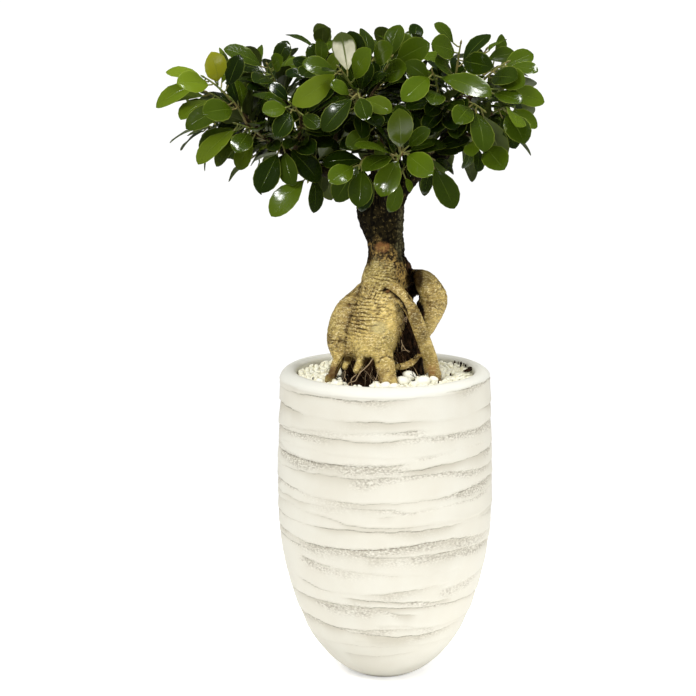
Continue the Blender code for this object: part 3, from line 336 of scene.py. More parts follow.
# Each spray: shoot base (x, z, depth), shoot tip (x, z, depth), leaf tips (x, z, depth, facing).
# Facing 0 turns a leaf's upper side to the front, 90 turns it up, 180 shows its underside.
FRONT_SPRAYS = {
    "spray_left_tip": ((-177, 678, -40), (-208, 705, -46), (
        (-169, 730, -50, 8), (-252, 716, -35, 62), (-239, 702, -80, 40), (-265, 675, -50, 52),
        (-201, 733, -78, 25), (-189, 738, -10, 65))),
    "spray_left_tip_low": ((-175, 668, -26), (-205, 688, -30), (
        (-262, 684, -20, 60), (-237, 665, -30, 45), (-236, 660, -66, 55), (-206, 662, 6, 50))),
    "spray_left_mid": ((-160, 652, -50), (-177, 680, -62), (
        (-229, 649, -80, 35), (-170, 704, -30, 60), (-209, 667, -100, 32))),
    "spray_left_low": ((-140, 636, -50), (-172, 652, -66), (
        (-169, 600, -60, 30), (-181, 614, -40, 45), (-173, 622, -100, 18), (-196, 605, -65, 55),
        (-213, 599, -90, 42), (-207, 621, -45, 55), (-216, 626, -75, 48))),
    "spray_left_high": ((-122, 684, 4), (-135, 718, -6), (
        (-176, 691, 30, 40), (-150, 702, -48, 62), (-170, 705, 26, 50), (-107, 730, 26, 25),
        (-171, 723, 10, 50), (-120, 729, -42, 32), (-186, 736, -10, 55), (-115, 747, -6, 10))),
    "spray_left_front": ((-98, 660, -72), (-109, 675, -92), (
        (-77, 648, -100, 20), (-126, 639, -118, 4), (-90, 696, -60, 40), (-140, 669, -118, 34))),
    "spray_middle_high": ((-36, 688, -52), (-54, 716, -68), (
        (-107, 675, -104, 26), (-94, 725, -76, 40), (-54, 756, -66, 176), (-22, 738, -90, 40))),
    "spray_middle_left": ((-72, 698, -12), (-79, 717, -18), (
        (-104, 729, -20, 25), (-76, 750, 0, 35), (-55, 733, -30, 40), (-97, 709, -60, 50))),
    "spray_crown_right": ((-8, 698, -30), (6, 727, -42), (
        (26, 757, -8, 32), (31, 754, -34, 14), (43, 751, -72, 16), (21, 718, -84, 36))),
    "spray_crown": ((-30, 690, -34), (-14, 727, -42), (
        (-37, 747, -10, 22), (-39, 758, -50, 26), (-24, 762, -12, 50), (6, 742, -92, 34))),
    "spray_right_mid": ((62, 682, -44), (53, 711, -56), (
        (120, 684, -86, 40), (53, 676, -92, 14), (20, 681, -104, 16), (23, 711, -60, 45),
        (61, 735, -30, 50), (21, 724, -70, 32))),
    "spray_fan": ((21, 622, -86), (14, 612, -106), (
        (49, 645, -104, 40), (15, 666, -132, 14), (-20, 599, -140, 58), (50, 594, -138, 10),
        (-40, 608, -126, 72), (-6, 570, -122, 20))),
    "spray_face": ((-34, 674, -78), (-32, 690, -100), (
        (-72, 645, -104, 28), (5, 667, -110, 30), (-22, 659, -132, 3), (-62, 700, -92, 40))),
    "spray_heart": ((-6, 636, -68), (-12, 651, -84), (
        (-10, 610, -76, 20), (-44, 627, -104, 12), (13, 658, -72, 34))),
    "spray_fan_low": ((20, 600, -46), (17, 592, -72), (
        (5, 551, -80, 30), (29, 575, -50, 40))),
    "spray_skirt": ((-24, 614, -82), (-30, 602, -104), (
        (-58, 563, -92, 22), (-39, 553, -92, 18), (-33, 555, -118, 2), (-58, 582, -136, 24))),
    "spray_hanging": ((-104, 632, -54), (-126, 624, -70), (
        (-76, 587, -66, 6), (-148, 622, -56, 60), (-108, 582, -84, 6), (-149, 574, -88, 2))),
    "spray_drop": ((-82, 604, -60), (-89, 587, -76), (
        (-84, 549, -76, 42), (-124, 543, -104, 24))),
    "spray_right_top": ((78, 690, -10), (85, 743, -22), (
        (60, 710, -66, 68), (119, 718, -70, 14), (54, 744, -62, 16), (116, 757, -2, 58),
        (55, 770, -30, 54))),
    "spray_right_peak": ((103, 716, 6), (114, 736, 4), (
        (147, 735, 16, 30), (136, 750, 30, 80))),
    "spray_right_tip": ((106, 696, -14), (138, 722, -22), (
        (150, 706, -62, 30), (152, 697, -66, 20), (174, 716, -44, 52), (169, 734, -8, 28))),
    "spray_right_long": ((98, 684, -36), (132, 692, -48), (
        (158, 674, -28, 62), (158, 680, -72, 34), (184, 678, -50, 38))),
    "spray_right_skirt": ((98, 646, -44), (114, 622, -62), (
        (102, 614, -92, 40), (91, 600, -40, 50), (114, 596, -84, 52), (141, 588, -100, 10))),
    "spray_right_low": ((94, 676, -64), (112, 667, -82), (
        (83, 654, -116, 18), (116, 621, -118, 24), (133, 607, -84, 150))),
    "spray_right_outer": ((122, 664, -52), (144, 672, -64), (
        (161, 632, -104, 16), (175, 651, -50, 45), (149, 625, -70, 14), (152, 651, -120, 58))),
    "spray_right_drop": ((46, 620, -28), (52, 606, -60), (
        (78, 597, -24, 62), (64, 591, -16, 40), (45, 572, -56, 38), (79, 555, -76, 14))),
}
# The hidden sprays follow a rule. Each: shoot tip (x, y, z), leaf count.
RULED_SPRAYS = {
    "spray_back_left_tip": ((-196, 62, 676), 7),
    "spray_back_left_high": ((-150, 92, 704), 6),
    "spray_back_left_low": ((-132, 112, 622), 6),
    "spray_back_left_hang": ((-74, 92, 594), 5),
    "spray_back_high": ((-66, 92, 726), 7),
    "spray_back_mid_left": ((-82, 136, 672), 7),
    "spray_back_top": ((0, 64, 734), 6),
    "spray_back_middle": ((-10, 142, 694), 7),
    "spray_back_low": ((-14, 132, 632), 6),
    "spray_back_hang": ((48, 96, 592), 5),
    "spray_back_right_high": ((64, 92, 718), 6),
    "spray_back_right_mid": ((62, 132, 656), 7),
    "spray_back_right_low": ((96, 104, 618), 6),
    "spray_back_right_tip": ((138, 70, 682), 7),
    "spray_right_side": ((142, 36, 646), 6),
    "spray_right_side_high": ((128, 34, 714), 5),
    "spray_left_side": ((-216, 8, 650), 6),
    "spray_left_side_low": ((-160, 22, 606), 5),
    "spray_top_left": ((-76, 26, 738), 5),
    "spray_top_right": ((34, 18, 738), 5),
}
DOME_CENTRE = Vector((-30, 10, 640))
SHOOT_LENGTH = 34

FIBRE_STEP = 3
FIBRE_BENDS = 12
# Bunches of fine roots. Each: start, end, spread, count, radius, share of light strands
FIBRE_BUNCHES = (((19, -22, 436), (26, -30, 366), 5, 14, 0.7, 0.07),
                 ((27, -20, 440), (22, -30, 400), 4, 8, 0.5, 0.1),
                 ((16, -24, 410), (30, -36, 362), 6, 16, 0.6, 0.06),
                 ((12, -26, 388), (28, -38, 364), 7, 14, 0.6, 0.15),
                 ((-18, -44, 386), (-27, -62, 358), 9, 22, 0.6, 0.2),
                 ((-30, -40, 384), (-14, -62, 358), 8, 14, 0.4, 0.25),
                 ((-46, -30, 382), (-44, -54, 358), 7, 14, 0.5, 0.15),
                 ((-4, -44, 386), (-8, -66, 358), 6, 14, 0.7, 0.25),
                 ((6, -56, 372), (2, -74, 358), 5, 12, 0.4, 0.3),
                 ((22, -32, 428), (31, -36, 438), 1.5, 3, 0.5, 1),
                 ((18, -38, 404), (27, -40, 393), 2, 4, 0.5, 0.8))

# Camera, as the photograph was taken
CAMERA_PLACE = Vector((-43.5, -2700, 900)) * MM
CAMERA_TARGET = Vector((-43.5, 0, 390)) * MM
CAMERA_LENS = 121.68
CAMERA_SENSOR = 36
CAMERA_REACH = 100

# Lamps: name, place, size, power, and whether it only shows as a glint on the surfaces
LAMPS = (("key", (-1300, -1300, 2200), 1000, 38, False),
         ("fill", (1700, -1300, 900), 1300, 20, False),
         ("top", (100, 200, 2300), 1200, 38, False),
         ("glint", (-700, -1900, 2000), 280, 13, True),
         ("top_glint", (300, -200, 2300), 320, 8, True))
LAMP_TARGET = (-30, 0, 450)
ROOM_LIGHT, ROOM_SHEEN, ROOM_SEEN = 0.69, 0.05, 1.05
FLOOR_REACH = 1000
FLOOR_FADE = (900, 350)


# Node trees


class Graph:
    """Adds nodes to a tree. An input is a number, vector, (r, g, b) or another node's output."""

    def __init__(self, tree):
        self.tree = tree

    def feed(self, socket, value):
        if isinstance(value, bpy.types.NodeSocket):
            self.tree.links.new(value, socket)
        elif socket.type == "RGBA":
            socket.default_value = (*value, 1)
        else:
            socket.default_value = value

    def add(self, kind, inputs=None, **settings):
        node = self.tree.nodes.new(kind)
        for name, value in settings.items():
            setattr(node, name, value)
        for key, value in (inputs or {}).items():
            self.feed(node.inputs[key], value)
        return node

    def math(self, operation, *values):
        return self.add("ShaderNodeMath", dict(enumerate(values)), operation=operation).outputs[0]

    def plus(self, first, second):
        return self.math("ADD", first, second)

    def times(self, product, *others):
        for value in others:
            product = self.math("MULTIPLY", product, value)
        return product

    def vector(self, operation, *values):
        inputs = dict(enumerate(values))
        return self.add("ShaderNodeVectorMath", inputs, operation=operation).outputs[0]

    def scaled(self, vector, factor):
        inputs = {0: vector, 3: factor}
        return self.add("ShaderNodeVectorMath", inputs, operation="SCALE").outputs[0]

    def steps(self, value, low, high, to_low=0.0, to_high=1.0):
        """Where the value lies between low and high, eased and held at both ends."""
        return self.add("ShaderNodeMapRange",
                        {0: value, 1: low, 2: high, 3: to_low, 4: to_high},
                        interpolation_type="SMOOTHSTEP").outputs[0]

    def mix(self, factor, first, second):
        inputs = {0: factor, 6: first, 7: second}
        return self.add("ShaderNodeMix", inputs, data_type="RGBA").outputs[2]

    def layered(self, colour, *layers):
        """A colour with others laid over it, each through its own mask."""
        for mask, over in layers:
            colour = self.mix(mask, colour, over)
        return colour

    def noise(self, vector, scale, detail=3.0, roughness=0.55):
        return self.add("ShaderNodeTexNoise", {"Vector": vector, "Scale": scale, "Detail": detail,
                                               "Roughness": roughness}).outputs[0]

    def attribute(self, name):
        """A named attribute as a number in a shader tree."""
        return self.add("ShaderNodeAttribute", attribute_name=name).outputs["Fac"]

    def named(self, name, kind="FLOAT"):
        """A named attribute in a geometry tree."""
        inputs = {"Name": name}
        return self.add("GeometryNodeInputNamedAttribute", inputs, data_type=kind).outputs[0]

    def place(self):
        """Where a point lies on the object, in metres."""
        return self.add("ShaderNodeTexCoord").outputs["Object"]

    def height(self, place, levels, to_low=0.0, to_high=1.0):
        """Where a place lies between two heights in millimetres."""
        up = self.add("ShaderNodeSeparateXYZ", {0: place}).outputs[2]
        return self.steps(up, levels[0] * MM, levels[1] * MM, to_low, to_high)


def new_material(name):
    """A material with its Principled shader, and a Graph for the nodes that feed it."""
    made = bpy.data.materials.new(name)
    made.use_nodes = True
    return made, made.node_tree.nodes["Principled BSDF"], Graph(made.node_tree)


def new_group(name, kind, inputs, outputs):
    """A new node group: (group, its graph, its input sockets, its output sockets)."""
    group = bpy.data.node_groups.new(name, kind)
    for sockets, way in ((inputs, "INPUT"), (outputs, "OUTPUT")):
        for socket, sort in sockets.items():
            group.interface.new_socket(socket, in_out=way, socket_type="NodeSocket" + sort)
    graph = Graph(group)
    return group, graph, graph.add("NodeGroupInput").outputs, graph.add("NodeGroupOutput").inputs


def shader_group(name, outputs, **numbers):
    """A new shader node group that reads a place and named numbers, each with its usual value."""
    inputs = {"Vector": "Vector", **dict.fromkeys(numbers, "Float")}
    made = new_group(name, "ShaderNodeTree", inputs, outputs)
    for socket in made[0].interface.items_tree:
        if socket.name in numbers:
            socket.default_value = numbers[socket.name]
    return made


def geometry_group(name, **numbers):
    """A new geometry node group that takes and gives a mesh, with these named numbers."""
    mesh = {"Mesh": "Geometry"}
    return new_group(name, "GeometryNodeTree", mesh | numbers, mesh)


def add_object(name, data):
    """A new object in the scene."""
    made = bpy.data.objects.new(name, data)
    bpy.context.scene.collection.objects.link(made)
    return made


def finished_mesh(source):
    """The mesh of an object with its modifiers applied; the object is then removed."""
    graph = bpy.context.evaluated_depsgraph_get()
    mesh = bpy.data.meshes.new_from_object(source.evaluated_get(graph))
    bpy.data.objects.remove(source)
    return mesh


def grow(source, name, tree, values):
    """A plain mesh object made by a geometry tree from a source object, which is then removed."""
    modifier = source.modifiers.new("grow", "NODES")
    modifier.node_group = tree
    for item in tree.interface.items_tree:
        if item.item_type == "SOCKET" and item.in_out == "INPUT" and item.name in values:
            modifier[item.identifier] = values[item.name]
    mesh = finished_mesh(source)
    mesh.name = name
    return add_object(name, mesh)


# Meshes


def new_object(name, points, faces, *finishes):
    """A smooth mesh object from points in millimetres."""
    mesh = bpy.data.meshes.new(name)
    mesh.from_pydata([Vector(p) * MM for p in points], [], faces)
    for finish in finishes:
        mesh.materials.append(finish)
    mesh.shade_smooth()
    return add_object(name, mesh)


def store(mesh, name, values, kind="FLOAT"):
    """Keeps one number or vector for each point of the mesh as a named attribute."""
    attribute = mesh.attributes.new(name, kind, "POINT")
    field = "vector" if kind == "FLOAT_VECTOR" else "value"
    attribute.data.foreach_set(field, np.asarray(values, np.float32).ravel())


def seat(piece, slot, *nodes):
    """A finished piece rides on the plant's one body and stands for CAD nodes, which are hidden."""
    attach(piece, "root")
    if nodes:
        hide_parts(*nodes)


def merge_skins(skins):
    """Several (points, faces) skins as one."""
    points, faces = [], []
    for skin_points, skin_faces in skins:
        faces += [tuple(i + len(points) for i in face) for face in skin_faces]
        points += skin_points
    return points, faces


def path_frames(points):
    """For each point of a path: its direction and two cross axes that don't twist along it."""
    frames = []
    side = None
    for i in range(len(points)):
        ahead = points[min(i + 1, len(points) - 1)] - points[max(i - 1, 0)]
        ahead.normalize()
        if side is None:
            side = ahead.cross(Vector((0, 1, 0)) if abs(ahead.y) < 0.8 else Vector((1, 0, 0)))
        side = (side - ahead * side.dot(ahead)).normalized()
        frames.append((ahead, side, ahead.cross(side)))
    return frames


def ring_corners(outline, turns):
    """Corners of level rings round the upright axis, from (height, radius) points."""
    return [Vector((radius * math.cos(turn), radius * math.sin(turn), height))
            for height, radius in outline for turn in turns]


def ring_skin(rings, sides):
    """Faces of a closed skin over a stack of rings with this many corners each, with flat ends."""
    faces = [tuple(reversed(range(sides)))]
    for i in range(rings - 1):
        for k in range(sides):
            a = i * sides + k
            b = i * sides + (k + 1) % sides
            faces.append((a, b, b + sides, a + sides))
    faces.append(tuple(range((rings - 1) * sides, rings * sides)))
    return faces


def tube(points, radii, sides, round_ends=False):
    """Points and faces of a closed tube along a path, with flat or domed ends."""
    frames = path_frames(points)
    rings = list(zip(points, radii, frames))
    if round_ends:
        for share in (0.5, 0.85):
            narrow = math.sqrt(1 - share * share)
            centre, radius, frame = points[0], radii[0], frames[0]
            rings.insert(0, (centre - frame[0] * radius * share, radius * narrow, frame))
            centre, radius, frame = points[-1], radii[-1], frames[-1]
            rings.append((centre + frame[0] * radius * share, radius * narrow, frame))
    corners = []
    for centre, radius, (_, side, other) in rings:
        for k in range(sides):
            turn = 2 * math.pi * k / sides
            corners.append(centre + (side * math.cos(turn) + other * math.sin(turn)) * radius)
    return corners, ring_skin(len(rings), sides)


def smooth_path(points, steps):
    """Points and radii read from a smooth curve through (x, y, z, radius) points."""
    knots = [points[0], *points, points[-1]]
    out = []
    for i in range(1, len(knots) - 2):
        p0, p1, p2, p3 = (Vector(knots[i + k]) for k in (-1, 0, 1, 2))
        for j in range(steps):
            t = j / steps
            out.append(0.5 * (2 * p1 + (p2 - p0) * t + (2 * p0 - 5 * p1 + 4 * p2 - p3) * t * t
                              + (3 * p1 - 3 * p2 + p3 - p0) * t ** 3))
    out.append(Vector(points[-1]))
    return [p.to_3d() for p in out], [p[3] for p in out]


def ball(subdivisions, place_of):
    """The skin of a ball, with each point of the unit ball moved to its own place."""
    shape = bmesh.new()
    bmesh.ops.create_icosphere(shape, subdivisions=subdivisions, radius=1)
    points = [place_of(corner.co) for corner in shape.verts]
    faces = [tuple(corner.index for corner in face.verts) for face in shape.faces]
    shape.free()
    return points, faces


# Planter


def planter_profile():
    """Points (radius, height) a small step apart, from the foot over the lip to its inner edge."""
    path, _ = smooth_path([(radius, 0, height, 0) for height, radius in POT_OUTLINE + LIP], 24)
    spots = np.array([(point.x, point.z) for point in path])
    run = np.concatenate([[0], np.cumsum(np.linalg.norm(np.diff(spots, axis=0), axis=1))])
    stations = np.linspace(0, run[-1], int(run[-1] / POT_ROW_STEP))
    return np.stack([np.interp(stations, run, spots[:, i]) for i in (0, 1)], axis=1)


def around_noise(turns, size, seed):
    """Smooth noise round the planter, about size millimetres from crest to crest."""
    reach = NOISE_RADIUS / size
    return np.array([noise.noise(Vector((math.cos(t) * reach, math.sin(t) * reach, seed)))
                     for t in turns])


def ledge_course(ledge, turns, seed):
    """A ledge's height and strength at each turn round the planter."""
    spots = ledge[2]
    angles = [angle for angle, height in spots]
    degrees = np.degrees(turns) + 90
    plain = np.interp(degrees, angles, [height for angle, height in spots], period=360)
    near = np.arange(-6, 7)
    weights = np.exp(-(near / 3.0) ** 2)
    height = sum(np.roll(plain, k) * w for k, w in zip(near, weights)) / weights.sum()
    height += around_noise(turns, 60, seed) * 2.2 + around_noise(turns, 17, seed) * 1.3
    height += around_noise(turns, 6, seed) * 0.7
    strength = np.ones(len(turns))
    if angles[-1] - angles[0] < OPEN_LEDGE:
        past = np.minimum((degrees - angles[0]) % 360, (angles[-1] - degrees) % 360)
        inside = (degrees - angles[0]) % 360 < angles[-1] - angles[0]
        strength = np.where(inside, np.clip(past / LEDGE_END, 0, 1), 0)
    strength *= np.clip(0.85 + around_noise(turns, 90, seed + 5) * 1.2, 0.25, 1)
    return height, strength


def press_ledges(profile, turns):
    """For each ring and turn: how far the skin stands out, its painted shade, its painted shadow line
    and its grit.
    """
    heights = profile[:, 1][:, None]
    shape = (len(profile), len(turns))
    push, shade, line, grit = (np.zeros(shape) for _ in range(4))
    outside = np.arange(len(profile))[:, None] < np.argmax(profile[:, 1])
    for seed, ledge in enumerate(LEDGES):
        middle, strength = ledge_course(ledge, turns, seed * 3.7)
        reach = RECESS_REACH * np.clip(1 + around_noise(turns, 70, seed + 0.5) * 1.6, 0.45, 2)
        gritty = ledge[1] * np.clip(0.5 + around_noise(turns, 75, seed + 8.5) * 2.4, 0, 1)
        above = heights - middle
        full = strength * ledge[0] * outside
        below = np.clip((0.7 - above) / 1.4, 0, 1)
        # Painted shade in the recess below each ledge
        recess = below * np.exp(np.minimum(0, above) / reach) * full
        push += (1 - below) * np.exp(-np.maximum(0, above) / BAND_FADE) * BAND_SWELL * full
        push -= recess * RECESS_DEPTH
        shade = np.maximum(shade, recess)
        # A painted shadow line just under each ledge
        line = np.maximum(line, np.exp(-((above + 0.7) / 0.9) ** 2) * full)
        spread = np.exp(-((above + reach * 0.4) / (reach * 0.6)) ** 2)
        grit = np.maximum(grit, spread * gritty * strength * outside)
    push *= np.clip(heights / LEDGES_FULL_ABOVE, 0.35, 1)
    return push, shade, line, grit


def build_planter(finish):
    """The turned body in fine rings, with bands that end in ragged gritty ledges."""
    turns = np.arange(POT_COLUMNS) * 2 * math.pi / POT_COLUMNS
    profile = planter_profile()
    push, shade, line, grit = press_ledges(profile, turns)
    ahead = np.gradient(profile, axis=0)
    ahead /= np.linalg.norm(ahead, axis=1)[:, None]
    corners = []
    for row, (radius, height) in enumerate(profile):
        out = ahead[row, 1]
        up = -ahead[row, 0]
        for k, turn in enumerate(turns):
            around = Vector((math.cos(turn), math.sin(turn), 0))
            spot = around * radius + UP * height
            swell = noise.noise(Vector((spot.x / 60, spot.y / 60, height / 21))) * POT_SWELL
            pit = min(0.0, noise.noise(spot / 1.9)) * grit[row, k] * PIT_DEPTH
            depth = (push[row, k] + pit) + swell * min(1.0, height / 60)
            corners.append(spot + (around * out + UP * up) * depth)
    corners += ring_corners(POT_INSIDE, turns)
    rings = len(profile) + len(POT_INSIDE)
    planter = new_object("planter", corners, ring_skin(rings, POT_COLUMNS), finish)
    rest = np.zeros(len(POT_INSIDE) * POT_COLUMNS)
    for name, values in (("shade", shade), ("ledge_shadow_line", line), ("grit", grit)):
        store(planter.data, name, np.concatenate([np.clip(values, 0, 1).ravel(), rest]))
    planter.data.set_sharp_from_angle(angle=math.radians(60))
    seat(planter, "stoneware", "pot")


# Soil, pebbles and stones


def ground(x, y):
    """Height of the soil, which is heaped up under the root."""
    rise = 0.0
    for middle_x, middle_y, wide, deep, height in SOIL_HEAPS:
        reach = min(1.0, math.hypot((x - middle_x) / wide, (y - middle_y) / deep))
        rise = max(rise, height * (0.5 + 0.5 * math.cos(math.pi * reach)))
    return SOIL_LEVEL + rise


def gravelly(level):
    """Whether soil at this height lies under the gravel."""
    return level < SOIL_LEVEL + GRAVEL_RISE


def build_soil(finish):
    """Crumbly soil that fills the planter, heaped under the root, with fine grit on the rest."""
    turns = [2 * math.pi * k / SOIL_SIDES for k in range(SOIL_SIDES)]
    rings = [(0, 0, SOIL_RADIUS - gap, SOIL_RADIUS - gap, 0) for gap in (1, 20)]
    for share in (1.5, 1.25, *np.linspace(1, 0.04, 22)):
        rings.append((*MOUND_MIDDLE, share * MOUND_RADIUS[0], share * MOUND_RADIUS[1], GRIT_DEPTH))
    corners = ring_corners(SOIL_WALL, turns)
    for middle_x, middle_y, wide, deep, grit in rings:
        for turn in turns:
            x, y = middle_x + wide * math.cos(turn), middle_y + deep * math.sin(turn)
            crumb = noise.noise(Vector((x, y, 0)) / 3) * 1.1 + noise.noise(Vector((x, y, 5)) / 8)
            level = ground(x, y)
            cover = grit if gravelly(level) else 0
            corners.append(Vector((x, y, level + cover + crumb)))
    count = len(SOIL_WALL) + len(rings)
    soil = new_object("soil_surface", corners, ring_skin(count, SOIL_SIDES), finish)
    store(soil.data, "gravelly", [float(gravelly(ground(c.x, c.y))) for c in corners])
    seat(soil, "soil", "soil")


def pebble_ground():
    """Small level cells, in layers, where pebbles may lie: clear of the mound and the feet."""
    cells = range(-int(SOIL_RADIUS), int(SOIL_RADIUS), PEBBLE_CELL)
    corners, faces = [], []
    for level, layer in enumerate(PEBBLE_LAYERS):
        for x in cells:
            for y in cells:
                middle = (x + PEBBLE_CELL / 2, y + PEBBLE_CELL / 2)
                rise = ground(*middle) - SOIL_LEVEL
                at_foot = any(math.hypot(middle[0] - fx, middle[1] - fy) < radius + FOOT_GAP
                              for fx, fy, radius in FEET)
                at_wall = math.hypot(*middle) > SOIL_RADIUS - WALL_GAP - level
                if rise > PEBBLE_RISE or at_foot or at_wall:
                    continue
                first = len(corners)
                for dx, dy in ((0, 0), (1, 0), (1, 1), (0, 1)):
                    corners.append((x + dx * PEBBLE_CELL, y + dy * PEBBLE_CELL, layer + rise))
                faces.append((first, first + 1, first + 2, first + 3))
    return new_object("pebble_ground", corners, faces)


def pebble_tree(finish):
    """Scatters lumpy pebbles over the cells, each turned and stretched its own way."""
    tree, g, inputs, outputs = geometry_group("scattered_pebbles", Spacing="Float",
                                              Smallest="Float", Largest="Float", Seed="Int")
    spots = g.add("GeometryNodeDistributePointsOnFaces",
                  {"Mesh": inputs["Mesh"], "Distance Min": inputs["Spacing"],
                   "Density Max": 90000.0, "Seed": inputs["Seed"]}, distribute_method="POISSON")
    round_stone = g.add("GeometryNodeMeshUVSphere",
                        {"Radius": 1.0, "Segments": 7, "Rings": 5}).outputs[0]
    turn = g.add("FunctionNodeRandomValue", {0: (-0.5, -0.5, 0), 1: (0.5, 0.5, 6.28),
                                             "Seed": inputs["Seed"]}, data_type="FLOAT_VECTOR")
    size = g.add("FunctionNodeRandomValue", {2: inputs["Smallest"], 3: inputs["Largest"],
                                             "Seed": 3}, data_type="FLOAT").outputs[1]
    stretch = g.add("FunctionNodeRandomValue", {0: (0.9, 0.75, 0.55), 1: (1.25, 1.05, 0.75),
                                                "Seed": 5}, data_type="FLOAT_VECTOR")
    placed = g.add("GeometryNodeInstanceOnPoints", {
        "Points": spots.outputs["Points"], "Instance": round_stone, "Rotation": turn.outputs[0],
        "Scale": g.scaled(stretch.outputs[0], size)})
    tint = g.add("FunctionNodeRandomValue", {2: 0.0, 3: 1.0, "Seed": 11}, data_type="FLOAT")
    marked = g.add("GeometryNodeStoreNamedAttribute",
                   {"Geometry": placed.outputs[0], "Name": "stone_tint", "Value": tint.outputs[1]},
                   data_type="FLOAT", domain="INSTANCE")
    real = g.add("GeometryNodeRealizeInstances", {0: marked.outputs[0]}).outputs[0]
    place = g.add("GeometryNodeInputPosition").outputs[0]
    lumps = g.add("ShaderNodeTexNoise", {"Vector": place, "Scale": 190.0, "Detail": 1.0})
    centred = g.vector("SUBTRACT", lumps.outputs["Color"], (0.5, 0.5, 0.5))
    shift = g.scaled(centred, g.times(inputs["Smallest"], 0.6))
    lumpy = g.add("GeometryNodeSetPosition", {"Geometry": real, "Offset": shift}).outputs[0]
    smooth = g.add("GeometryNodeSetShadeSmooth", {0: lumpy}).outputs[0]
    done = g.add("GeometryNodeSetMaterial", {0: smooth, 2: finish}).outputs[0]
    g.feed(outputs["Mesh"], done)
    return tree


def build_pebbles(finish):
    """The gravel bed, and the white stones that lie by the root."""
    pebbles = grow(pebble_ground(), "cream_pebbles", pebble_tree(finish), {
        "Spacing": PEBBLE_SPACING * MM, "Smallest": PEBBLE_SMALL * MM,
        "Largest": PEBBLE_LARGE * MM, "Seed": SEED})
    seat(pebbles, "pebbles", "pebbles")
    skins = []
    for x, y, z, radius in WHITE_STONES:
        centre = Vector((x, y, z - radius * 0.3))

        def lumpy(spot):
            lump = 1 + noise.noise(spot * 1.1 + centre) * 0.16
            return centre + Vector((spot.x * 1.1, spot.y, spot.z * 0.85)) * radius * lump

        skins.append(ball(3, lumpy))
    stones = new_object("white_stones", *merge_skins(skins), finish)
    store(stones.data, "stone_tint", np.ones(len(stones.data.vertices)))
    seat(stones, "pebbles", "pebbles")


def build_chips(finish):
    """Chips of dark bark and small dark crumbs that lie on the gravel."""
    draw = random.Random(SEED)
    skins = []
    for x, y, z, length in BARK_CHIPS:
        turn = Matrix.Rotation(draw.uniform(0, math.pi), 3, "Z")

        def ragged(spot):
            lump = 1 + noise.noise(spot * 1.7 + Vector((x, y, 0))) * 0.5
            stretch = Vector((spot.x * length / 2, spot.y * length / 4, spot.z * 2))
            return Vector((x, y, z)) + turn @ (stretch * lump)

        skins.append(ball(2, ragged))
    seat(new_object("bark_chips", *merge_skins(skins), finish), "bark")


# Fibrous roots


def fibre_paths():
    """Wavy strands from the root's underside down to the soil, and a few that curl outwards."""
    draw = random.Random(SEED)
    strands = []
    for start, end, spread, count, radius, light in FIBRE_BUNCHES:
        for _ in range(count):
            first = Vector(start) + Vector([draw.gauss(0, spread) for _ in range(3)]) * 0.6
            last = Vector(end) + Vector((draw.gauss(0, spread * 1.6), draw.gauss(0, spread), 0))
            bow = Vector([draw.uniform(-1, 1) for _ in range(3)]) * (last - first).length * 0.22
            phase = draw.uniform(0, 50)
            strand = []
            for i in range(FIBRE_BENDS + 1):
                t = i / FIBRE_BENDS
                wave = Vector([noise.noise(Vector((t * 3.1 + phase, axis * 9, 0)))
                               for axis in range(3)]) * 7 * math.sin(math.pi * t)
                strand.append(first.lerp(last, t) + bow * math.sin(math.pi * t) + wave)
            strands.append((strand, radius * draw.uniform(0.5, 1.2), draw.random() < light))
    return strands


def fibre_tree(finish):
    """Turns bare wavy edges into fine round roots of the thickness kept on their points."""
    tree, g, inputs, outputs = geometry_group("fine_roots", Step="Float", Sides="Int")
    lines = g.add("GeometryNodeMeshToCurve", {0: inputs["Mesh"]}).outputs[0]
    even = g.add("GeometryNodeResampleCurve", {"Curve": lines, "Length": inputs["Step"]},
                 mode="LENGTH")
    ring = g.add("GeometryNodeCurvePrimitiveCircle", {"Resolution": inputs["Sides"], "Radius": 1.0})
    round_roots = g.add("GeometryNodeCurveToMesh", {
        "Curve": even.outputs[0], "Profile Curve": ring.outputs[0],
        "Scale": g.named("fibre_radius"), "Fill Caps": True}).outputs[0]
    smooth = g.add("GeometryNodeSetShadeSmooth", {0: round_roots}).outputs[0]
    done = g.add("GeometryNodeSetMaterial", {0: smooth, 2: finish}).outputs[0]
    real = g.add("GeometryNodeRealizeInstances", {0: done}).outputs[0]
    g.feed(outputs["Mesh"], real)
    return tree


def build_fibres(finish):
    """The fine roots, grown from bare lines."""
    points, edges, radii, tints = [], [], [], []
    for strand, radius, tint in fibre_paths():
        first = len(points)
        points += [point * MM for point in strand]
        edges += [(first + i, first + i + 1) for i in range(len(strand) - 1)]
        radii += [radius * (1 - 0.5 * i / len(strand)) * MM for i in range(len(strand))]
        tints += [float(tint)] * len(strand)
    mesh = bpy.data.meshes.new("fibre_lines")
    mesh.from_pydata(points, edges, [])
    store(mesh, "fibre_radius", radii)
    store(mesh, "fibre_tint", tints)
    fibres = grow(add_object("fibre_lines", mesh), "fine_roots", fibre_tree(finish),
                  {"Step": FIBRE_STEP * MM, "Sides": FIBRE_SIDES})
    seat(fibres, "bark")


# Root, trunk, boughs and twigs


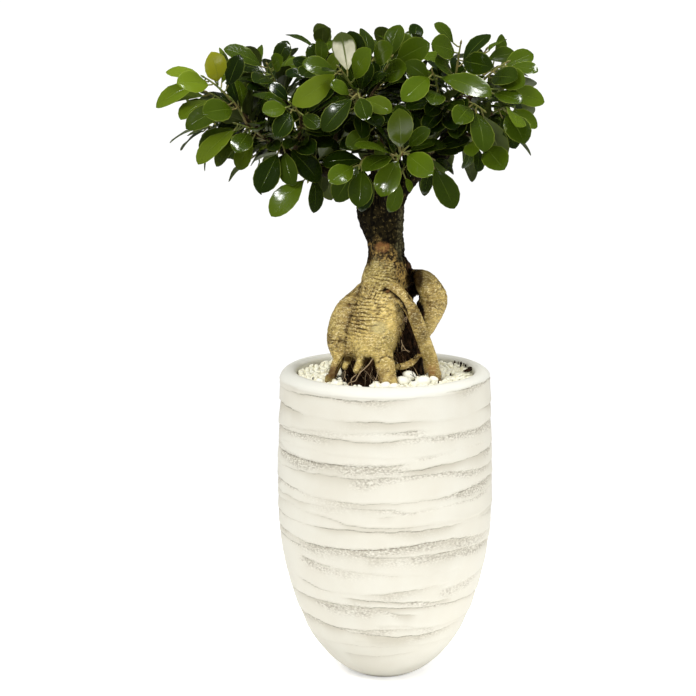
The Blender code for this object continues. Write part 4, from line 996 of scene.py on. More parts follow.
def melted_wood():
    """Root, trunk and boughs melted into one fine skin."""
    skins = []
    for limb in [*LIMBS.values(), *FILLING_LIMBS.values()]:
        skins.append(tube(*smooth_path(limb, 5), LIMB_SIDES, round_ends=True))
    for bough in BOUGHS.values():
        skins.append(tube(*smooth_path(bough, 5), BARK_SIDES, round_ends=True))
    for x, y, radius in FEET:
        top = Vector((x, y, SOIL_LEVEL + FOOT_RISE))
        bottom = Vector((x, y, SOIL_LEVEL - FOOT_DEPTH))
        skins.append(tube([bottom, top], [radius * 0.9, radius], BARK_SIDES, round_ends=True))
    source = new_object("wood_source", *merge_skins(skins))
    melt = source.modifiers.new("melt", "REMESH")
    melt.mode = "VOXEL"
    melt.voxel_size = BARK_VOXEL * MM
    melt.use_smooth_shade = True
    ease = source.modifiers.new("ease", "SMOOTH")
    ease.factor = 0.5
    ease.iterations = BARK_SMOOTHING
    return finished_mesh(source)


def limb_guide():
    """A tree of points along every limb and bough, and what is known at each of them."""
    spots = []
    for name, limb in [*LIMBS.items(), *FILLING_LIMBS.items(), *BOUGHS.items()]:
        path, radii = smooth_path(limb, 14)
        frames = path_frames(path)
        run = 0
        for i, point in enumerate(path):
            run += (point - path[i - 1]).length if i else 0
            spots.append((point, frames[i][0], run, radii[i], name in FIBROUS_AND_SHADE_LIMBS))
    tree = KDTree(len(spots))
    for i, spot in enumerate(spots):
        tree.insert(spot[0], i)
    tree.balance()
    return tree, spots


def bark_share(point):
    """0 on the smooth tan root, 1 on the dark rough trunk and boughs above it."""
    ragged = noise.noise(point / 16) * 11 + noise.noise(point / 3.5) * 6
    right = 26 * max(0.0, min(1.0, (point.x - 6) / 12, (36 - point.x) / 8))
    return max(0.0, min(1.0, (point.z + ragged + right - BARK_FROM) / BARK_FADE))


def on_elevation(places):
    """Where each place shows on the front elevation, as x and z."""
    eye = np.array(EYE)
    return (eye + (places - eye) * (EYE.y / (EYE.y - places[:, 1]))[:, None])[:, (0, 2)]


def line_distance(spots, line):
    """Each spot's distance from a line of (x, z) points."""
    nearest = np.full(len(spots), 1e9)
    for a, b in zip(np.array(line, float), np.array(line[1:], float)):
        along = np.clip((spots - a) @ (b - a) / ((b - a) @ (b - a)), 0, 1)
        nearest = np.minimum(nearest, np.linalg.norm(spots - a - along[:, None] * (b - a), axis=1))
    return nearest


def pressed_folds(shown, front):
    """Depth and painted shade of the folds: on the front as they show, on the back mirrored."""
    mirrored = shown * (-1, 1) - (10, 0)
    depth, dark = np.zeros(len(shown)), np.zeros(len(shown))
    for deep, half_width, darkness, line in FOLDS:
        for spots, weight in ((shown, front), (mirrored, (1 - front) * 0.6)):
            press = np.exp(-(line_distance(spots, line) / half_width) ** 2) * weight
            depth = np.maximum(depth, press * deep)
            dark = np.maximum(dark, press * darkness)
    return depth, dark


def painted(shown, patches):
    """The strength of oval patches (x, z, reach in x, reach in z, strength), 0 away from them."""
    share = np.zeros(len(shown))
    for x, z, wide, high, strength in patches:
        off = ((shown[:, 0] - x) / wide) ** 2 + ((shown[:, 1] - z) / high) ** 2
        share = np.maximum(share, np.exp(-off ** 1.5) * strength)
    return share


def skin_relief(point, spot):
    """How far the skin stands out at a place, and how much painted shade its wrinkles get there."""
    centre, along, run, radius, _ = spot
    station = run + (point - centre).dot(along)
    wander = noise.noise(point / 22) * 5 + noise.noise(point / 7) * 1.6
    swell = noise.noise(Vector((point.x, point.y, point.z * 0.7)) / 21)
    patch = max(0.0, 0.6 + noise.noise(point / 26 + Vector((9, 4, 2))) * 1.2)
    line = 1 - abs(noise.noise(Vector(((station + wander) / 2.6, radius, point.x / 22))))
    short = 1 - abs(noise.noise(Vector(((station + wander) / 1.7, point.x / 6, point.y / 6))))
    wrinkle = patch * (max(0.0, line - 0.76) * 2.4 + max(0.0, short - 0.78) * 2.0)
    slender = min(1.0, radius / 14)
    lumps = noise.noise(point / 3.2) * 0.22
    return swell * 1.4 * slender + (lumps - wrinkle * WRINKLE_DEPTH) * slender, wrinkle


def bark_relief(point, radius):
    """The same for the rough bark: knobs, pits and shallow upright cracks."""
    slender = min(1.0, radius / 12)
    crack = 1 - abs(noise.noise(Vector((point.x / 6, point.y / 6, point.z / 11))))
    rough = noise.noise(point / 2.6) * 0.5 + noise.noise(point / 6) * 0.9
    deep = max(0.0, crack - 0.8) * 4
    return (rough - deep) * slender, min(1.0, deep * 1.2)


def pressed_ribs(shown, front):
    """How deep the even cross ribs lie on the front of the root."""
    ribbed = np.zeros(len(shown))
    for x, z, wide, high, step, depth in RIBBED_PATCHES:
        weight = painted(shown, [(x, z, wide, high, 1)]) * front
        phases = [across * 0.1 + up + noise.noise(Vector((across / 13, up / 13, x))) * 3
                  for across, up in shown]
        wave = np.maximum(0, np.sin(np.array(phases) * 2 * math.pi / step)) ** 2
        ribbed = np.maximum(ribbed, weight * depth * wave)
    return ribbed


def carve_wood(mesh):
    """Presses folds, wrinkles and bark into the skin, and keeps where they are, with their painted
    shade, for the finish.
    """
    tree, guide = limb_guide()
    count = len(mesh.vertices)
    places, normals = np.empty(count * 3), np.empty(count * 3)
    mesh.vertices.foreach_get("co", places)
    mesh.vertices.foreach_get("normal", normals)
    places, normals = places.reshape(-1, 3) / MM, normals.reshape(-1, 3)
    shown = on_elevation(places)
    front = np.clip((0.3 - normals[:, 1]) / 0.5, 0, 1)
    folds, fold_shade = pressed_folds(shown, front)
    ribbed = pressed_ribs(shown, front)
    marks = {name: np.zeros(count) for name in ("crease_shade", "bark", "mat")}
    for i in range(count):
        point = Vector(places[i])
        spot = guide[tree.find(point)[1]]
        bark = bark_share(point)
        smooth, wrinkle = skin_relief(point, spot)
        rough, crack = bark_relief(point, spot[3])
        depth = smooth * (1 - bark) + rough * bark
        if spot[4]:
            depth += noise.noise(Vector((point.x / 2, point.y / 2, point.z / 6))) * 1.6
        depth -= folds[i] + ribbed[i] * (1 - bark)
        places[i] += normals[i] * depth
        # Painted shade in the folds, wrinkles, ribs and bark cracks, where these lie in shadow
        fold = fold_shade[i] * (0.8 + noise.noise(point / 4))
        dark = wrinkle * 0.95 + fold + ribbed[i] * 0.55
        marks["crease_shade"][i] = min(1.0, max(dark * (1 - bark) + crack * bark, fold))
        marks["bark"][i] = bark
        marks["mat"][i] = spot[4]
    mesh.vertices.foreach_set("co", (places * MM).ravel())
    for name, patches in (("rust", RUSTY_PATCHES), ("pale", PALE_PATCHES),
                          ("shaded", SHADED_PATCHES)):
        marks[name] = painted(shown, patches) * front
    for name, values in marks.items():
        store(mesh, name, values)
    mesh.update()


def build_wood(plans, root_finish, twig_finish):
    """The root with its trunk and boughs, and the twigs that carry the sprays."""
    mesh = melted_wood()
    mesh.materials.clear()
    mesh.materials.append(root_finish)
    carve_wood(mesh)
    seat(add_object("root_and_boughs", mesh), "bark", "trunk")
    twigs = []
    for plan in plans:
        path, radii = smooth_path([(*p, r) for p, r in zip(*plan["twig"])], 4)
        twigs.append(tube(path, [radius + 0.2 for radius in radii], STEM_SIDES, round_ends=True))
    seat(new_object("twigs", *merge_skins(twigs), twig_finish), "bark", "trunk")


# Canopy plan: where each twig, shoot and leaf goes


def seen_from_front(x, z, depth):
    """The point that shows at (x, z) on the front elevation and lies depth behind its plane."""
    return EYE + (Vector((x, 0, z)) - EYE) * (1 - depth / EYE.y)


def bough_points():
    """Points along every bough, away from its ends: (point, radius, direction)."""
    found = []
    for points in BOUGHS.values():
        path, radii = smooth_path(points, 6)
        frames = path_frames(path)
        for i in range(4, len(path) - 1):
            found.append((path[i], radii[i], frames[i][0]))
    return found


def twig_to(base, ahead, anchors):
    """A twig that leaves the best placed bough point and arrives at a shoot's base, head on."""
    def cost(anchor):
        point, _, along = anchor
        reach = base - point
        rise = reach.normalized().z if reach.length > 1 else 0
        return reach.length * (1.25 - 0.45 * reach.normalized().dot(along) - 0.2 * rise)

    point, radius, along = min(anchors, key=cost)
    span = (base - point).length
    lean = (base - point).normalized() * 0.6 + along * 0.4
    first = point + lean * span * 0.35
    last = base - ahead * span * 0.3
    path = []
    for t in TWIG_STEPS:
        u = 1 - t
        path.append(point * u ** 3 + first * 3 * u * u * t + last * 3 * u * t * t + base * t ** 3)
    start = min(radius * 0.75, 1.7 + span * 0.02)
    radii = [start + (TWIG_RADIUS - start) * t for t in TWIG_STEPS]
    return path, radii


def facing_normal(along, facing):
    """A blade's upper side: turned from the front by facing degrees about the leaf's own line."""
    front = Vector((0, -1, 0))
    level = front - along * front.dot(along)
    if level.length < 0.15:
        level = UP - along * UP.dot(along)
    level.normalize()
    other = along.cross(level)
    if other.z < -0.3 or (abs(other.z) <= 0.3 and other.x < 0):
        other = -other
    turn = math.radians(facing)
    return (level * math.cos(turn) + other * math.sin(turn)).normalized()


def front_plan():
    """Shoots and wished leaves of the sprays that are laid out one by one."""
    plans = []
    for name, (base, tip, leaves) in FRONT_SPRAYS.items():
        start, end = seen_from_front(*base), seen_from_front(*tip)
        wishes = []
        for x, z, depth, facing in leaves:
            goal = seen_from_front(x, z, depth)
            wishes.append({"goal": goal, "facing": facing, "width": LEAF_WIDTH})
        wishes.sort(key=lambda wish: (wish["goal"] - start).length)
        plans.append({"name": name, "base": start, "tip": end, "wishes": wishes})
    return plans


def ruled_plan():
    """Shoots and wished leaves of the other sprays: leaves go round the shoot in a spiral."""
    draw = random.Random(SEED)
    plans = []
    for name, (place, count) in RULED_SPRAYS.items():
        tip = Vector(place)
        outward = (tip - DOME_CENTRE).normalized()
        droop = -0.35 if tip.z < 640 else 0.25
        ahead = (outward + UP * droop).normalized()
        base = tip - ahead * SHOOT_LENGTH
        side = ahead.cross(UP).normalized()
        over = side.cross(ahead)
        spin = draw.uniform(0, 2 * math.pi)
        wishes = []
        for i in range(count):
            share = i / (count - 1)
            turn = spin + i * GOLDEN_ANGLE
            spread = math.radians(96 - 48 * share)
            away = side * math.cos(turn) + over * math.sin(turn)
            along = ahead * math.cos(spread) + away * math.sin(spread)
            along = (along + outward * 0.25 - UP * 0.12).normalized()
            start = base + (tip - base) * (0.25 + 0.7 * share)
            length = (LEAF_LENGTH + PETIOLE * 0.3) * draw.uniform(0.84, 1.08) * (1.04 - 0.2 * share)
            normal = ahead * 0.55 + UP * 0.55 + outward * 0.2
            wishes.append({"goal": start + along * length, "normal": normal,
                           "width": LEAF_WIDTH * draw.uniform(0.9, 1.05)})
        plans.append({"name": name, "base": base, "tip": tip, "wishes": wishes})
    return plans


def shoot_rings(plan):
    """Centres and radii of the shoot's rings: one bare stretch, then one segment for each leaf."""
    count = len(plan["wishes"])
    shares = [0.0] + [0.22 + 0.78 * i / count for i in range(count + 1)]
    span = plan["tip"] - plan["base"]
    bow = UP * span.length * 0.06
    centres = [plan["base"] + span * s + bow * 4 * s * (1 - s) for s in shares]
    radii = [SHOOT_RADIUS + (SHOOT_TIP_RADIUS - SHOOT_RADIUS) * s for s in shares]
    return centres, radii


def leaf_axes(start, wish):
    """The way from a leaf's foot to its wished tip, and the side that its upper face looks to."""
    along = (wish["goal"] - start).normalized()
    if "normal" in wish:
        normal = wish["normal"] - along * wish["normal"].dot(along)
        if normal.length < 0.1:
            normal = UP - along * UP.dot(along)
        normal.normalize()
    else:
        normal = facing_normal(along, wish["facing"])
    return along, normal


def blade_points(leaf, thickness, grow=0.0):
    """A leaf blade's two faces: base, stations and tip, each as points above and below."""
    start, along, normal = leaf["neck"], leaf["along"], leaf["normal"]
    side = along.cross(normal)
    length, half = leaf["blade"], leaf["width"] / 2
    up = normal * thickness / 2

    def spot(share, reach):
        rise = LEAF_ARCH * length * (4 * share * (1 - share) - share * 0.5)
        lift = rise + LEAF_FOLD * abs(reach)
        return start + along * (length * share) + normal * lift + side * reach

    neck_half = NECK_HALF_WIDTH + grow
    low, high = (half * fullness + grow for share, fullness in BLADE_STATIONS)
    (low_at, _), (high_at, _) = BLADE_STATIONS
    skin = [spot(0, -neck_half), spot(0, neck_half), spot(low_at, -low), spot(low_at, 0),
            spot(low_at, low), spot(high_at, -high), spot(high_at, high),
            spot(1 + grow / length, 0)]
    return [p + up for p in skin], [p - up for p in skin]


def blade_faces(top_first, bottom_first):
    """Faces of a blade without its neck end, from the index of each face's first corner."""
    faces = [tuple(top_first + i for i in reversed(face)) for face in BLADE_TOP]
    faces += [tuple(bottom_first + i for i in face) for face in BLADE_TOP]
    for a, b in zip(BLADE_RIM, BLADE_RIM[1:]):
        faces.append((top_first + a, top_first + b, bottom_first + b))
        faces.append((top_first + a, bottom_first + b, bottom_first + a))
    return faces


def proxy_tree(leaf):
    """A slightly swollen copy of the leaf's blade and stalk, for clearance tests."""
    top, bottom = blade_points(leaf, LEAF_THICKNESS + 2 * CLEARANCE, CLEARANCE)
    points = top + bottom
    faces = blade_faces(0, 8)
    for end in leaf["socket"]:
        points.append(end + leaf["leave"] * (SHOOT_RADIUS + 0.4))
        apex = len(points) - 1
        faces += [(0, 1, apex), (1, 9, apex), (9, 8, apex), (8, 0, apex)]
    return BVHTree.FromPolygons(points, faces, epsilon=0.0), points


def tube_tree(points, radii, sides=6):
    """A slightly swollen tube, for clearance tests."""
    corners, faces = tube(points, [r + CLEARANCE for r in radii], sides)
    return BVHTree.FromPolygons(corners, faces, epsilon=0.0), corners


def box_of(points):
    """The lowest and the highest corner of the box round some points."""
    low = [min(p[i] for p in points) for i in range(3)]
    high = [max(p[i] for p in points) for i in range(3)]
    return low, high


class Space:
    """What already stands in the canopy, as trees with their bounding boxes."""

    def __init__(self):
        self.items = []

    def add(self, tree, points, owner):
        self.items.append((*box_of(points), tree, owner))

    def hit(self, tree, points, skip):
        """Whether a tree cuts into anything here, apart from what the owners in skip have."""
        low, high = box_of(points)
        for a, b, other, owner in self.items:
            if owner in skip:
                continue
            if any(a[i] > high[i] or b[i] < low[i] for i in range(3)):
                continue
            if other.overlap(tree):
                return True
        return False


def bends():
    """Small turns to try, smallest first: (lift, swing, roll, length share)."""
    tries = [(0, 0, roll, 1.0) for roll in (0, 18, -18, 36, -36)]
    for size, share in ((7, 1), (13, 1), (19, 0.97), (26, 0.94), (33, 0.9), (41, 0.86), (50, 0.8)):
        for roll in (0, 24, -24):
            for k in range(8):
                turn = k * math.pi / 4
                tries.append((size * math.cos(turn), size * math.sin(turn), roll, share))
    return tries


def foot_of(stem, ring):
    """Where a leaf stands on its stem: halfway between this ring and the next."""
    return (stem[0][ring] + stem[0][ring + 1]) / 2


def settle_leaf(plan, ring, wish, shoot, space, tries):
    """A leaf as near to its wish as the space allows, or None."""
    centres, _, frames = shoot
    foot = foot_of(shoot, ring)
    shoot_along = frames[ring][0]
    along, normal = leaf_axes(foot, wish)
    side = along.cross(normal)
    full = (wish["goal"] - foot).length
    full = min(max(full, LEAF_REACH[0]), LEAF_REACH[1])
    for lift, swing, roll, share in tries:
        turned = Matrix.Rotation(math.radians(lift), 3, side) @ Matrix.Rotation(
            math.radians(swing), 3, normal)
        way = turned @ along
        if shoot_along.angle(way) < math.radians(LEAST_ANGLE_TO_SHOOT):
            continue
        face = Matrix.Rotation(math.radians(roll), 3, way) @ turned @ normal
        leave = way - shoot_along * way.dot(shoot_along)
        leave.normalize()
        neck = foot + leave * (SHOOT_RADIUS + PETIOLE * 0.35) + way * PETIOLE * 0.65
        blade = full * share - PETIOLE
        width = min(wish["width"], blade * 0.66)
        leaf = {"foot": foot, "neck": neck, "along": way, "normal": face, "blade": blade,
                "width": width, "leave": leave, "socket": (centres[ring], centres[ring + 1])}
        tree, points = proxy_tree(leaf)
        if not space.hit(tree, points, {plan["name"]}):
            space.add(tree, points, plan["name"] + "_leaf")
            return leaf
    return None


def plan_canopy():
    """Every spray with its twig, shoot and settled leaves."""
    anchors = bough_points()
    space = Space()
    for points in BOUGHS.values():
        path, radii = smooth_path(points, 3)
        space.add(*tube_tree(path, radii), "wood")
    trunk_path, trunk_radii = smooth_path(LIMBS["trunk"], 2)
    space.add(*tube_tree(trunk_path, trunk_radii, 10), "wood")
    plans = front_plan() + ruled_plan()
    for plan in plans:
        centres, radii = shoot_rings(plan)
        frames = path_frames(centres)
        plan["shoot"] = (centres, radii, frames)
        seat = plan["base"] - frames[0][0] * FIT_GAP
        plan["twig"] = twig_to(seat, frames[0][0], anchors)
        bud = centres[-1] + frames[-1][0] * BUD_LENGTH
        space.add(*tube_tree([*centres, bud], [*radii, 0.2]), plan["name"])
        space.add(*tube_tree(*plan["twig"]), plan["name"] + "_twig")
    tries = bends()
    for plan in plans:
        plan["leaves"] = []
        for i, wish in enumerate(plan["wishes"]):
            leaf = settle_leaf(plan, i + 1, wish, plan["shoot"], space, tries)
            plan["leaves"].append(leaf)
    return plans, space


def in_crown(point):
    """Whether a point lies inside the rounded body of the crown."""
    reach = point - CROWN_CENTRE
    return sum((reach[i] / CROWN_RADII[i]) ** 2 for i in range(3)) < 1


def inner_wish(foot, frame, draw):
    """A leaf that leaves a stem at a random turn, leaning outwards, and looks up and out."""
    ahead, side, other = frame
    turn = draw.uniform(0, 2 * math.pi)
    away = side * math.cos(turn) + other * math.sin(turn)
    outward = (foot - DOME_CENTRE).normalized()
    along = (ahead * draw.uniform(0.1, 0.9) + away + outward * 0.5 - UP * 0.1).normalized()
    goal = foot + along * (LEAF_LENGTH + PETIOLE) * draw.uniform(0.62, 0.95)
    return {"goal": goal, "normal": ahead * 0.4 + UP * 0.7 + outward * 0.3,
            "width": LEAF_WIDTH * draw.uniform(0.85, 1.0)}


def stems_of(plan):
    """A spray's shoot and twig, each with its name and its count of inner leaves."""
    path, radii = smooth_path([(*p, r) for p, r in zip(*plan["twig"])], 3)
    twig = (path, radii, path_frames(path))
    return [(plan["name"], plan["shoot"], INNER_ON_SHOOT),
            (plan["name"] + "_twig", twig, INNER_ON_TWIG)]


def inner_leaf(plan, owner, stem, ring, wish, space):
    """Adds a leaf inside the crown where there is room for it, and says whether it did."""
    if not in_crown(wish["goal"]):
        return False
    tries = [bend for bend in bends() if bend[0] ** 2 + bend[1] ** 2 < INNER_BEND ** 2]
    leaf = settle_leaf({"name": owner}, ring, wish, stem, space, tries)
    if leaf:
        leaf["inner"] = True
        plan["leaves"].append(leaf)
    return bool(leaf)


def cover_spot(plans, space, x, z):
    """Leaves from the stems round a see-through spot, those with the fitting length first."""
    reach = LEAF_LENGTH + PETIOLE
    found = []
    for plan in plans:
        for owner, stem, _ in stems_of(plan):
            for ring in range(len(stem[0]) - 1):
                foot = foot_of(stem, ring)
                away = seen_from_front(x, z, foot.y) - foot
                wish = {"goal": foot + away.normalized() * reach * 0.9,
                        "normal": Vector((0, -1, 0.4)), "width": LEAF_WIDTH}
                if away.length < reach * 0.75:
                    found.append((abs(away.length - reach / 2), plan, owner, stem, ring, wish))
    found.sort(key=lambda item: item[0])
    added = 0
    for item in found:
        if added < LEAVES_ON_SPOT:
            added += inner_leaf(*item[1:], space)


def fill_canopy(plans, space):
    """Inner leaves that the solids leave out: on the shoots, and along the twigs behind them."""
    draw = random.Random(SEED)
    for plan in plans:
        for owner, stem, count in stems_of(plan):
            for _ in range(count):
                ring = draw.randrange(len(stem[0]) - 1)
                foot = foot_of(stem, ring)
                wish = inner_wish(foot, stem[2][ring], draw)
                inner_leaf(plan, owner, stem, ring, wish, space)
    for x, z in SEE_THROUGH:
        cover_spot(plans, space, x, z)


# Leafy sprays


def blade_sheet():
    """A flat closed sheet with named places on it, which the leaf tree bends into each blade."""
    spots, index = [], {}
    for i, share in enumerate(BLADE_SHARES):
        for k, across in enumerate(BLADE_ACROSS):
            on_rim = i in (0, len(BLADE_SHARES) - 1) or abs(across) == 1
            for face in ((0,) if on_rim else (1, -1)):
                index[i, k, face] = len(spots)
                spots.append((share, across, face))

    def corner(i, k, face):
        return index.get((i, k, face), index.get((i, k, 0)))

    faces = []
    for i in range(len(BLADE_SHARES) - 1):
        for k in range(len(BLADE_ACROSS) - 1):
            for face in (1, -1):
                quad = [corner(i, k, face), corner(i, k + 1, face),
                        corner(i + 1, k + 1, face), corner(i + 1, k, face)]
                faces.append(quad if face == 1 else quad[::-1])
    sheet = new_object("blade_sheet", [(x, share, face * 0.02) for share, x, face in spots], faces)
    for name, values in zip(("blade_share", "blade_across", "blade_face"), zip(*spots)):
        store(sheet.data, name, values)
    return sheet


def blade_outline(g, share):
    """The blade's half width at a share of its length, as a part of its greatest."""
    outline = g.add("ShaderNodeFloatCurve", {"Value": share})
    curve = outline.mapping.curves[0]
    for place, height in BLADE_OUTLINE[1:-1]:
        curve.points.new(place, height)
    curve.points[0].location = BLADE_OUTLINE[0]
    curve.points[-1].location = BLADE_OUTLINE[-1]
    outline.mapping.update()
    return outline.outputs[0]


def blade_position(g, inputs):
    """Where a point of the sheet lies on its leaf: arched, folded along the rib and rippled."""
    share, across, face = (g.named(name) for name in ("blade_share", "blade_across", "blade_face"))
    length = g.named("leaf_length")
    half = g.times(blade_outline(g, share), g.times(g.named("leaf_width"), 0.5))
    reach = g.times(across, half)
    hump = g.times(share, 4, g.math("SUBTRACT", 1, share))
    bow = g.math("SUBTRACT", hump, g.times(share, g.named("leaf_droop")))
    square = g.times(across, across)
    dome = g.math("SUBTRACT", 1.2, g.times(square, 0.45))
    fold = g.times(g.math("ABSOLUTE", reach), inputs["Fold"], dome)
    phase = g.plus(g.times(share, 9), g.named("leaf_phase"))
    wave = g.times(g.math("SINE", g.plus(phase, across)), square, half, 0.05)
    skin = g.times(face, g.times(inputs["Thickness"], 0.5))
    arch = g.times(bow, inputs["Arch"], length)
    lift = g.plus(g.plus(arch, fold), g.plus(wave, skin))
    along, normal = g.named("leaf_along", "FLOAT_VECTOR"), g.named("leaf_normal", "FLOAT_VECTOR")
    spot = g.named("leaf_neck", "FLOAT_VECTOR")
    for way, distance in ((along, g.times(length, share)),
                          (g.vector("CROSS_PRODUCT", along, normal), reach), (normal, lift)):
        spot = g.vector("ADD", spot, g.scaled(way, distance))
    return spot


def blade_tree(sheet, finish):
    """Turns each marked point into a leaf blade, from the frame and sizes stored on the point."""
    tree, g, inputs, outputs = geometry_group("leaf_blades", Thickness="Float", Fold="Float",
                                              Arch="Float")
    split = g.add("GeometryNodeSeparateGeometry", {0: inputs["Mesh"], 1: g.named("leaf_mark")})
    shape = g.add("GeometryNodeObjectInfo", {"Object": sheet})
    copies = g.add("GeometryNodeInstanceOnPoints", {"Points": split.outputs[0],
                                                    "Instance": shape.outputs["Geometry"]})
    real = g.add("GeometryNodeRealizeInstances", {0: copies.outputs[0]}).outputs[0]
    spot = blade_position(g, inputs)
    bent = g.add("GeometryNodeSetPosition", {"Geometry": real, "Position": spot}).outputs[0]
    smooth = g.add("GeometryNodeSetShadeSmooth", {0: bent, 2: True}, domain="FACE").outputs[0]
    sharp = g.math("GREATER_THAN", g.add("GeometryNodeInputMeshEdgeAngle").outputs[0], 0.9)
    creased = g.add("GeometryNodeSetShadeSmooth", {0: smooth, 1: sharp, 2: False}, domain="EDGE")
    green = g.add("GeometryNodeSetMaterial", {0: creased.outputs[0], 2: finish}).outputs[0]
    whole = g.add("GeometryNodeJoinGeometry")
    g.tree.links.new(green, whole.inputs[0])
    g.tree.links.new(split.outputs[1], whole.inputs[0])
    g.feed(outputs["Mesh"], whole.outputs[0])
    return tree


def shown_on_leaf(leaf, share):
    """Where a share of a leaf's length shows on the front elevation, and its depth."""
    point = leaf["neck"] + leaf["along"] * leaf["blade"] * share
    shown = EYE + (point - EYE) * (EYE.y / (EYE.y - point.y))
    return shown.x, shown.z, point.y


def youth_and_light_of(leaf):
    """How young a leaf is, with the painted light of lit leaves, from where its tip shows."""
    tip_x, tip_z, depth = shown_on_leaf(leaf, 1)
    if leaf.get("inner") or depth > GROWN_BEHIND:
        return 0.0
    for x, z, reach, youth in YOUNG_AND_LIT_LEAVES:
        if math.hypot(tip_x - x, tip_z - z) < reach:
            return youth
    return YOUTH_ELSEWHERE


def shade_of(leaf):
    """How much painted shade a leaf gets from the crown's shaded places."""
    return painted(np.array([shown_on_leaf(leaf, 0.5)]), SHADED_LEAVES)[0]


def length_of(leaf):
    """The blade's length, kept under the top of the crown."""
    if leaf["along"].z < 0.3:
        return leaf["blade"]
    return min(leaf["blade"], (CROWN_TOP - leaf["neck"].z) / leaf["along"].z)


def glare_of(leaf):
    """1 for the leaf that turns its underside to the light."""
    tip_x, tip_z, _ = shown_on_leaf(leaf, 1)
    turned = not leaf.get("inner") and leaf["normal"].y > 0.3
    return float(turned and any(math.hypot(tip_x - x, tip_z - z) < reach
                                for x, z, reach in BRIGHT_UNDERSIDES))


def spray_source(plan, stem_finish):
    """Shoot and petioles as a mesh, with a loose point for each leaf that the leaf tree grows."""
    draw = random.Random(plan["name"])
    centres, radii, frames = plan["shoot"]
    bud = centres[-1] + frames[-1][0] * BUD_LENGTH
    skins = [tube(centres, radii, STEM_SIDES, round_ends=True),
             tube([centres[-1], centres[-1] * 0.4 + bud * 0.6, bud],
                  [SHOOT_TIP_RADIUS * 1.5, SHOOT_TIP_RADIUS * 1.2, 0.25], STEM_SIDES)]
    leaves = [leaf for leaf in plan["leaves"] if leaf]
    for leaf in leaves:
        bend = leaf["foot"] + leaf["leave"] * PETIOLE * 0.4
        tip = leaf["neck"] + leaf["along"] * 2.5
        skins.append(tube([leaf["foot"], bend, leaf["neck"], tip], PETIOLE_RADII, PETIOLE_SIDES))
    points, faces = merge_skins(skins)
    stems = len(points)
    points += [leaf["neck"] for leaf in leaves]
    source = new_object(plan["name"] + "_source", points, faces, stem_finish)
    mesh = source.data
    numbers = {
        "leaf_mark": [1.0] * len(leaves),
        "leaf_length": [length_of(leaf) * MM for leaf in leaves],
        "leaf_width": [leaf["width"] * draw.uniform(*LEAF_SLIMMING) * MM for leaf in leaves],
        "leaf_droop": [draw.uniform(0.3, 0.9) for leaf in leaves],
        "leaf_phase": [draw.uniform(0, 6) for leaf in leaves],
        # Each leaf's own random tone, darkened as painted shade for inner leaves and the crown's
        # shaded places
        "leaf_tint": [draw.random() * (INNER_SHADE_TINT if leaf.get("inner") else 1)
                      * (1 - shade_of(leaf)) for leaf in leaves],
        "leaf_glare": [glare_of(leaf) for leaf in leaves],
        # Youth, and painted light on lit leaves
        "leaf_age": [youth_and_light_of(leaf) * draw.uniform(0.8, 1.2) for leaf in leaves],
    }
    for name, values in numbers.items():
        store(mesh, name, [0.0] * stems + values)
    for name, key, unit in (("leaf_neck", "neck", MM), ("leaf_along", "along", 1),
                            ("leaf_normal", "normal", 1)):
        places = [(0.0, 0.0, 0.0)] * stems + [tuple(leaf[key] * unit) for leaf in leaves]
        store(mesh, name, places, "FLOAT_VECTOR")
    return source


def build_sprays(plans, leaf_finish, stem_finish):
    """Each spray's shoot, stalks and leaves as one piece."""
    sheet = blade_sheet()
    tree = blade_tree(sheet, leaf_finish)
    for plan in plans:
        source = spray_source(plan, stem_finish)
        spray = grow(source, plan["name"] + "_leafy", tree, {
            "Thickness": LEAF_THICKNESS * MM, "Fold": LEAF_FOLD, "Arch": LEAF_ARCH})
        seat(spray, "leaf", plan["name"])
    bpy.data.objects.remove(sheet)


# Finishes


def mottle_group():
    """Two sizes of cloudy patches in one mask, for colour that drifts over a surface."""
    group, g, inputs, outputs = shader_group("mottle", {"Mask": "Float"}, Broad=20.0, Fine=120.0,
                                             Share=0.4)
    broad = g.noise(inputs["Vector"], inputs["Broad"], 2.0)
    fine = g.noise(inputs["Vector"], inputs["Fine"], 4.0, 0.65)
    both = g.add("ShaderNodeMix", {0: inputs["Share"], 2: broad, 3: fine}, data_type="FLOAT")
    g.feed(outputs["Mask"], g.steps(both.outputs[0], 0.32, 0.68))
    return group


def grain_group():
    """A fine rough surface as a normal, with its own scale and depth."""
    group, g, inputs, outputs = shader_group("surface_grain", {"Normal": "Vector"}, Scale=400.0,
                                             Depth=0.2, Relief=0.0)
    grain = g.noise(inputs["Vector"], inputs["Scale"], 5.0, 0.7)
    height = g.plus(g.times(grain, inputs["Depth"]), inputs["Relief"])
    bump = g.add("ShaderNodeBump", {"Strength": 1.0, "Distance": 0.001, "Height": height})
    g.feed(outputs["Normal"], bump.outputs[0])
    return group


def placed(g, group, **values):
    """A shader group in a material, with its inputs filled by name."""
    node = g.add("ShaderNodeGroup", node_tree=group)
    for name, value in values.items():
        g.feed(node.inputs[name], value)
    return node.outputs[0]


def cloudy_finish(name, mottle, grain, clouds, relief, roughness, specular=0.5):
    """A grainy material without its colour: (material, colour socket, graph, cloudy mask)."""
    made, shader, g = new_material(name)
    place = g.place()
    broad, fine, share = clouds
    scale, depth = relief
    drift = placed(g, mottle, Vector=place, Broad=broad, Fine=fine, Share=share)
    shader.inputs["Roughness"].default_value = roughness
    shader.inputs["Specular IOR Level"].default_value = specular
    g.feed(shader.inputs["Normal"], placed(g, grain, Vector=place, Scale=scale, Depth=depth))
    return made, shader.inputs["Base Color"], g, drift


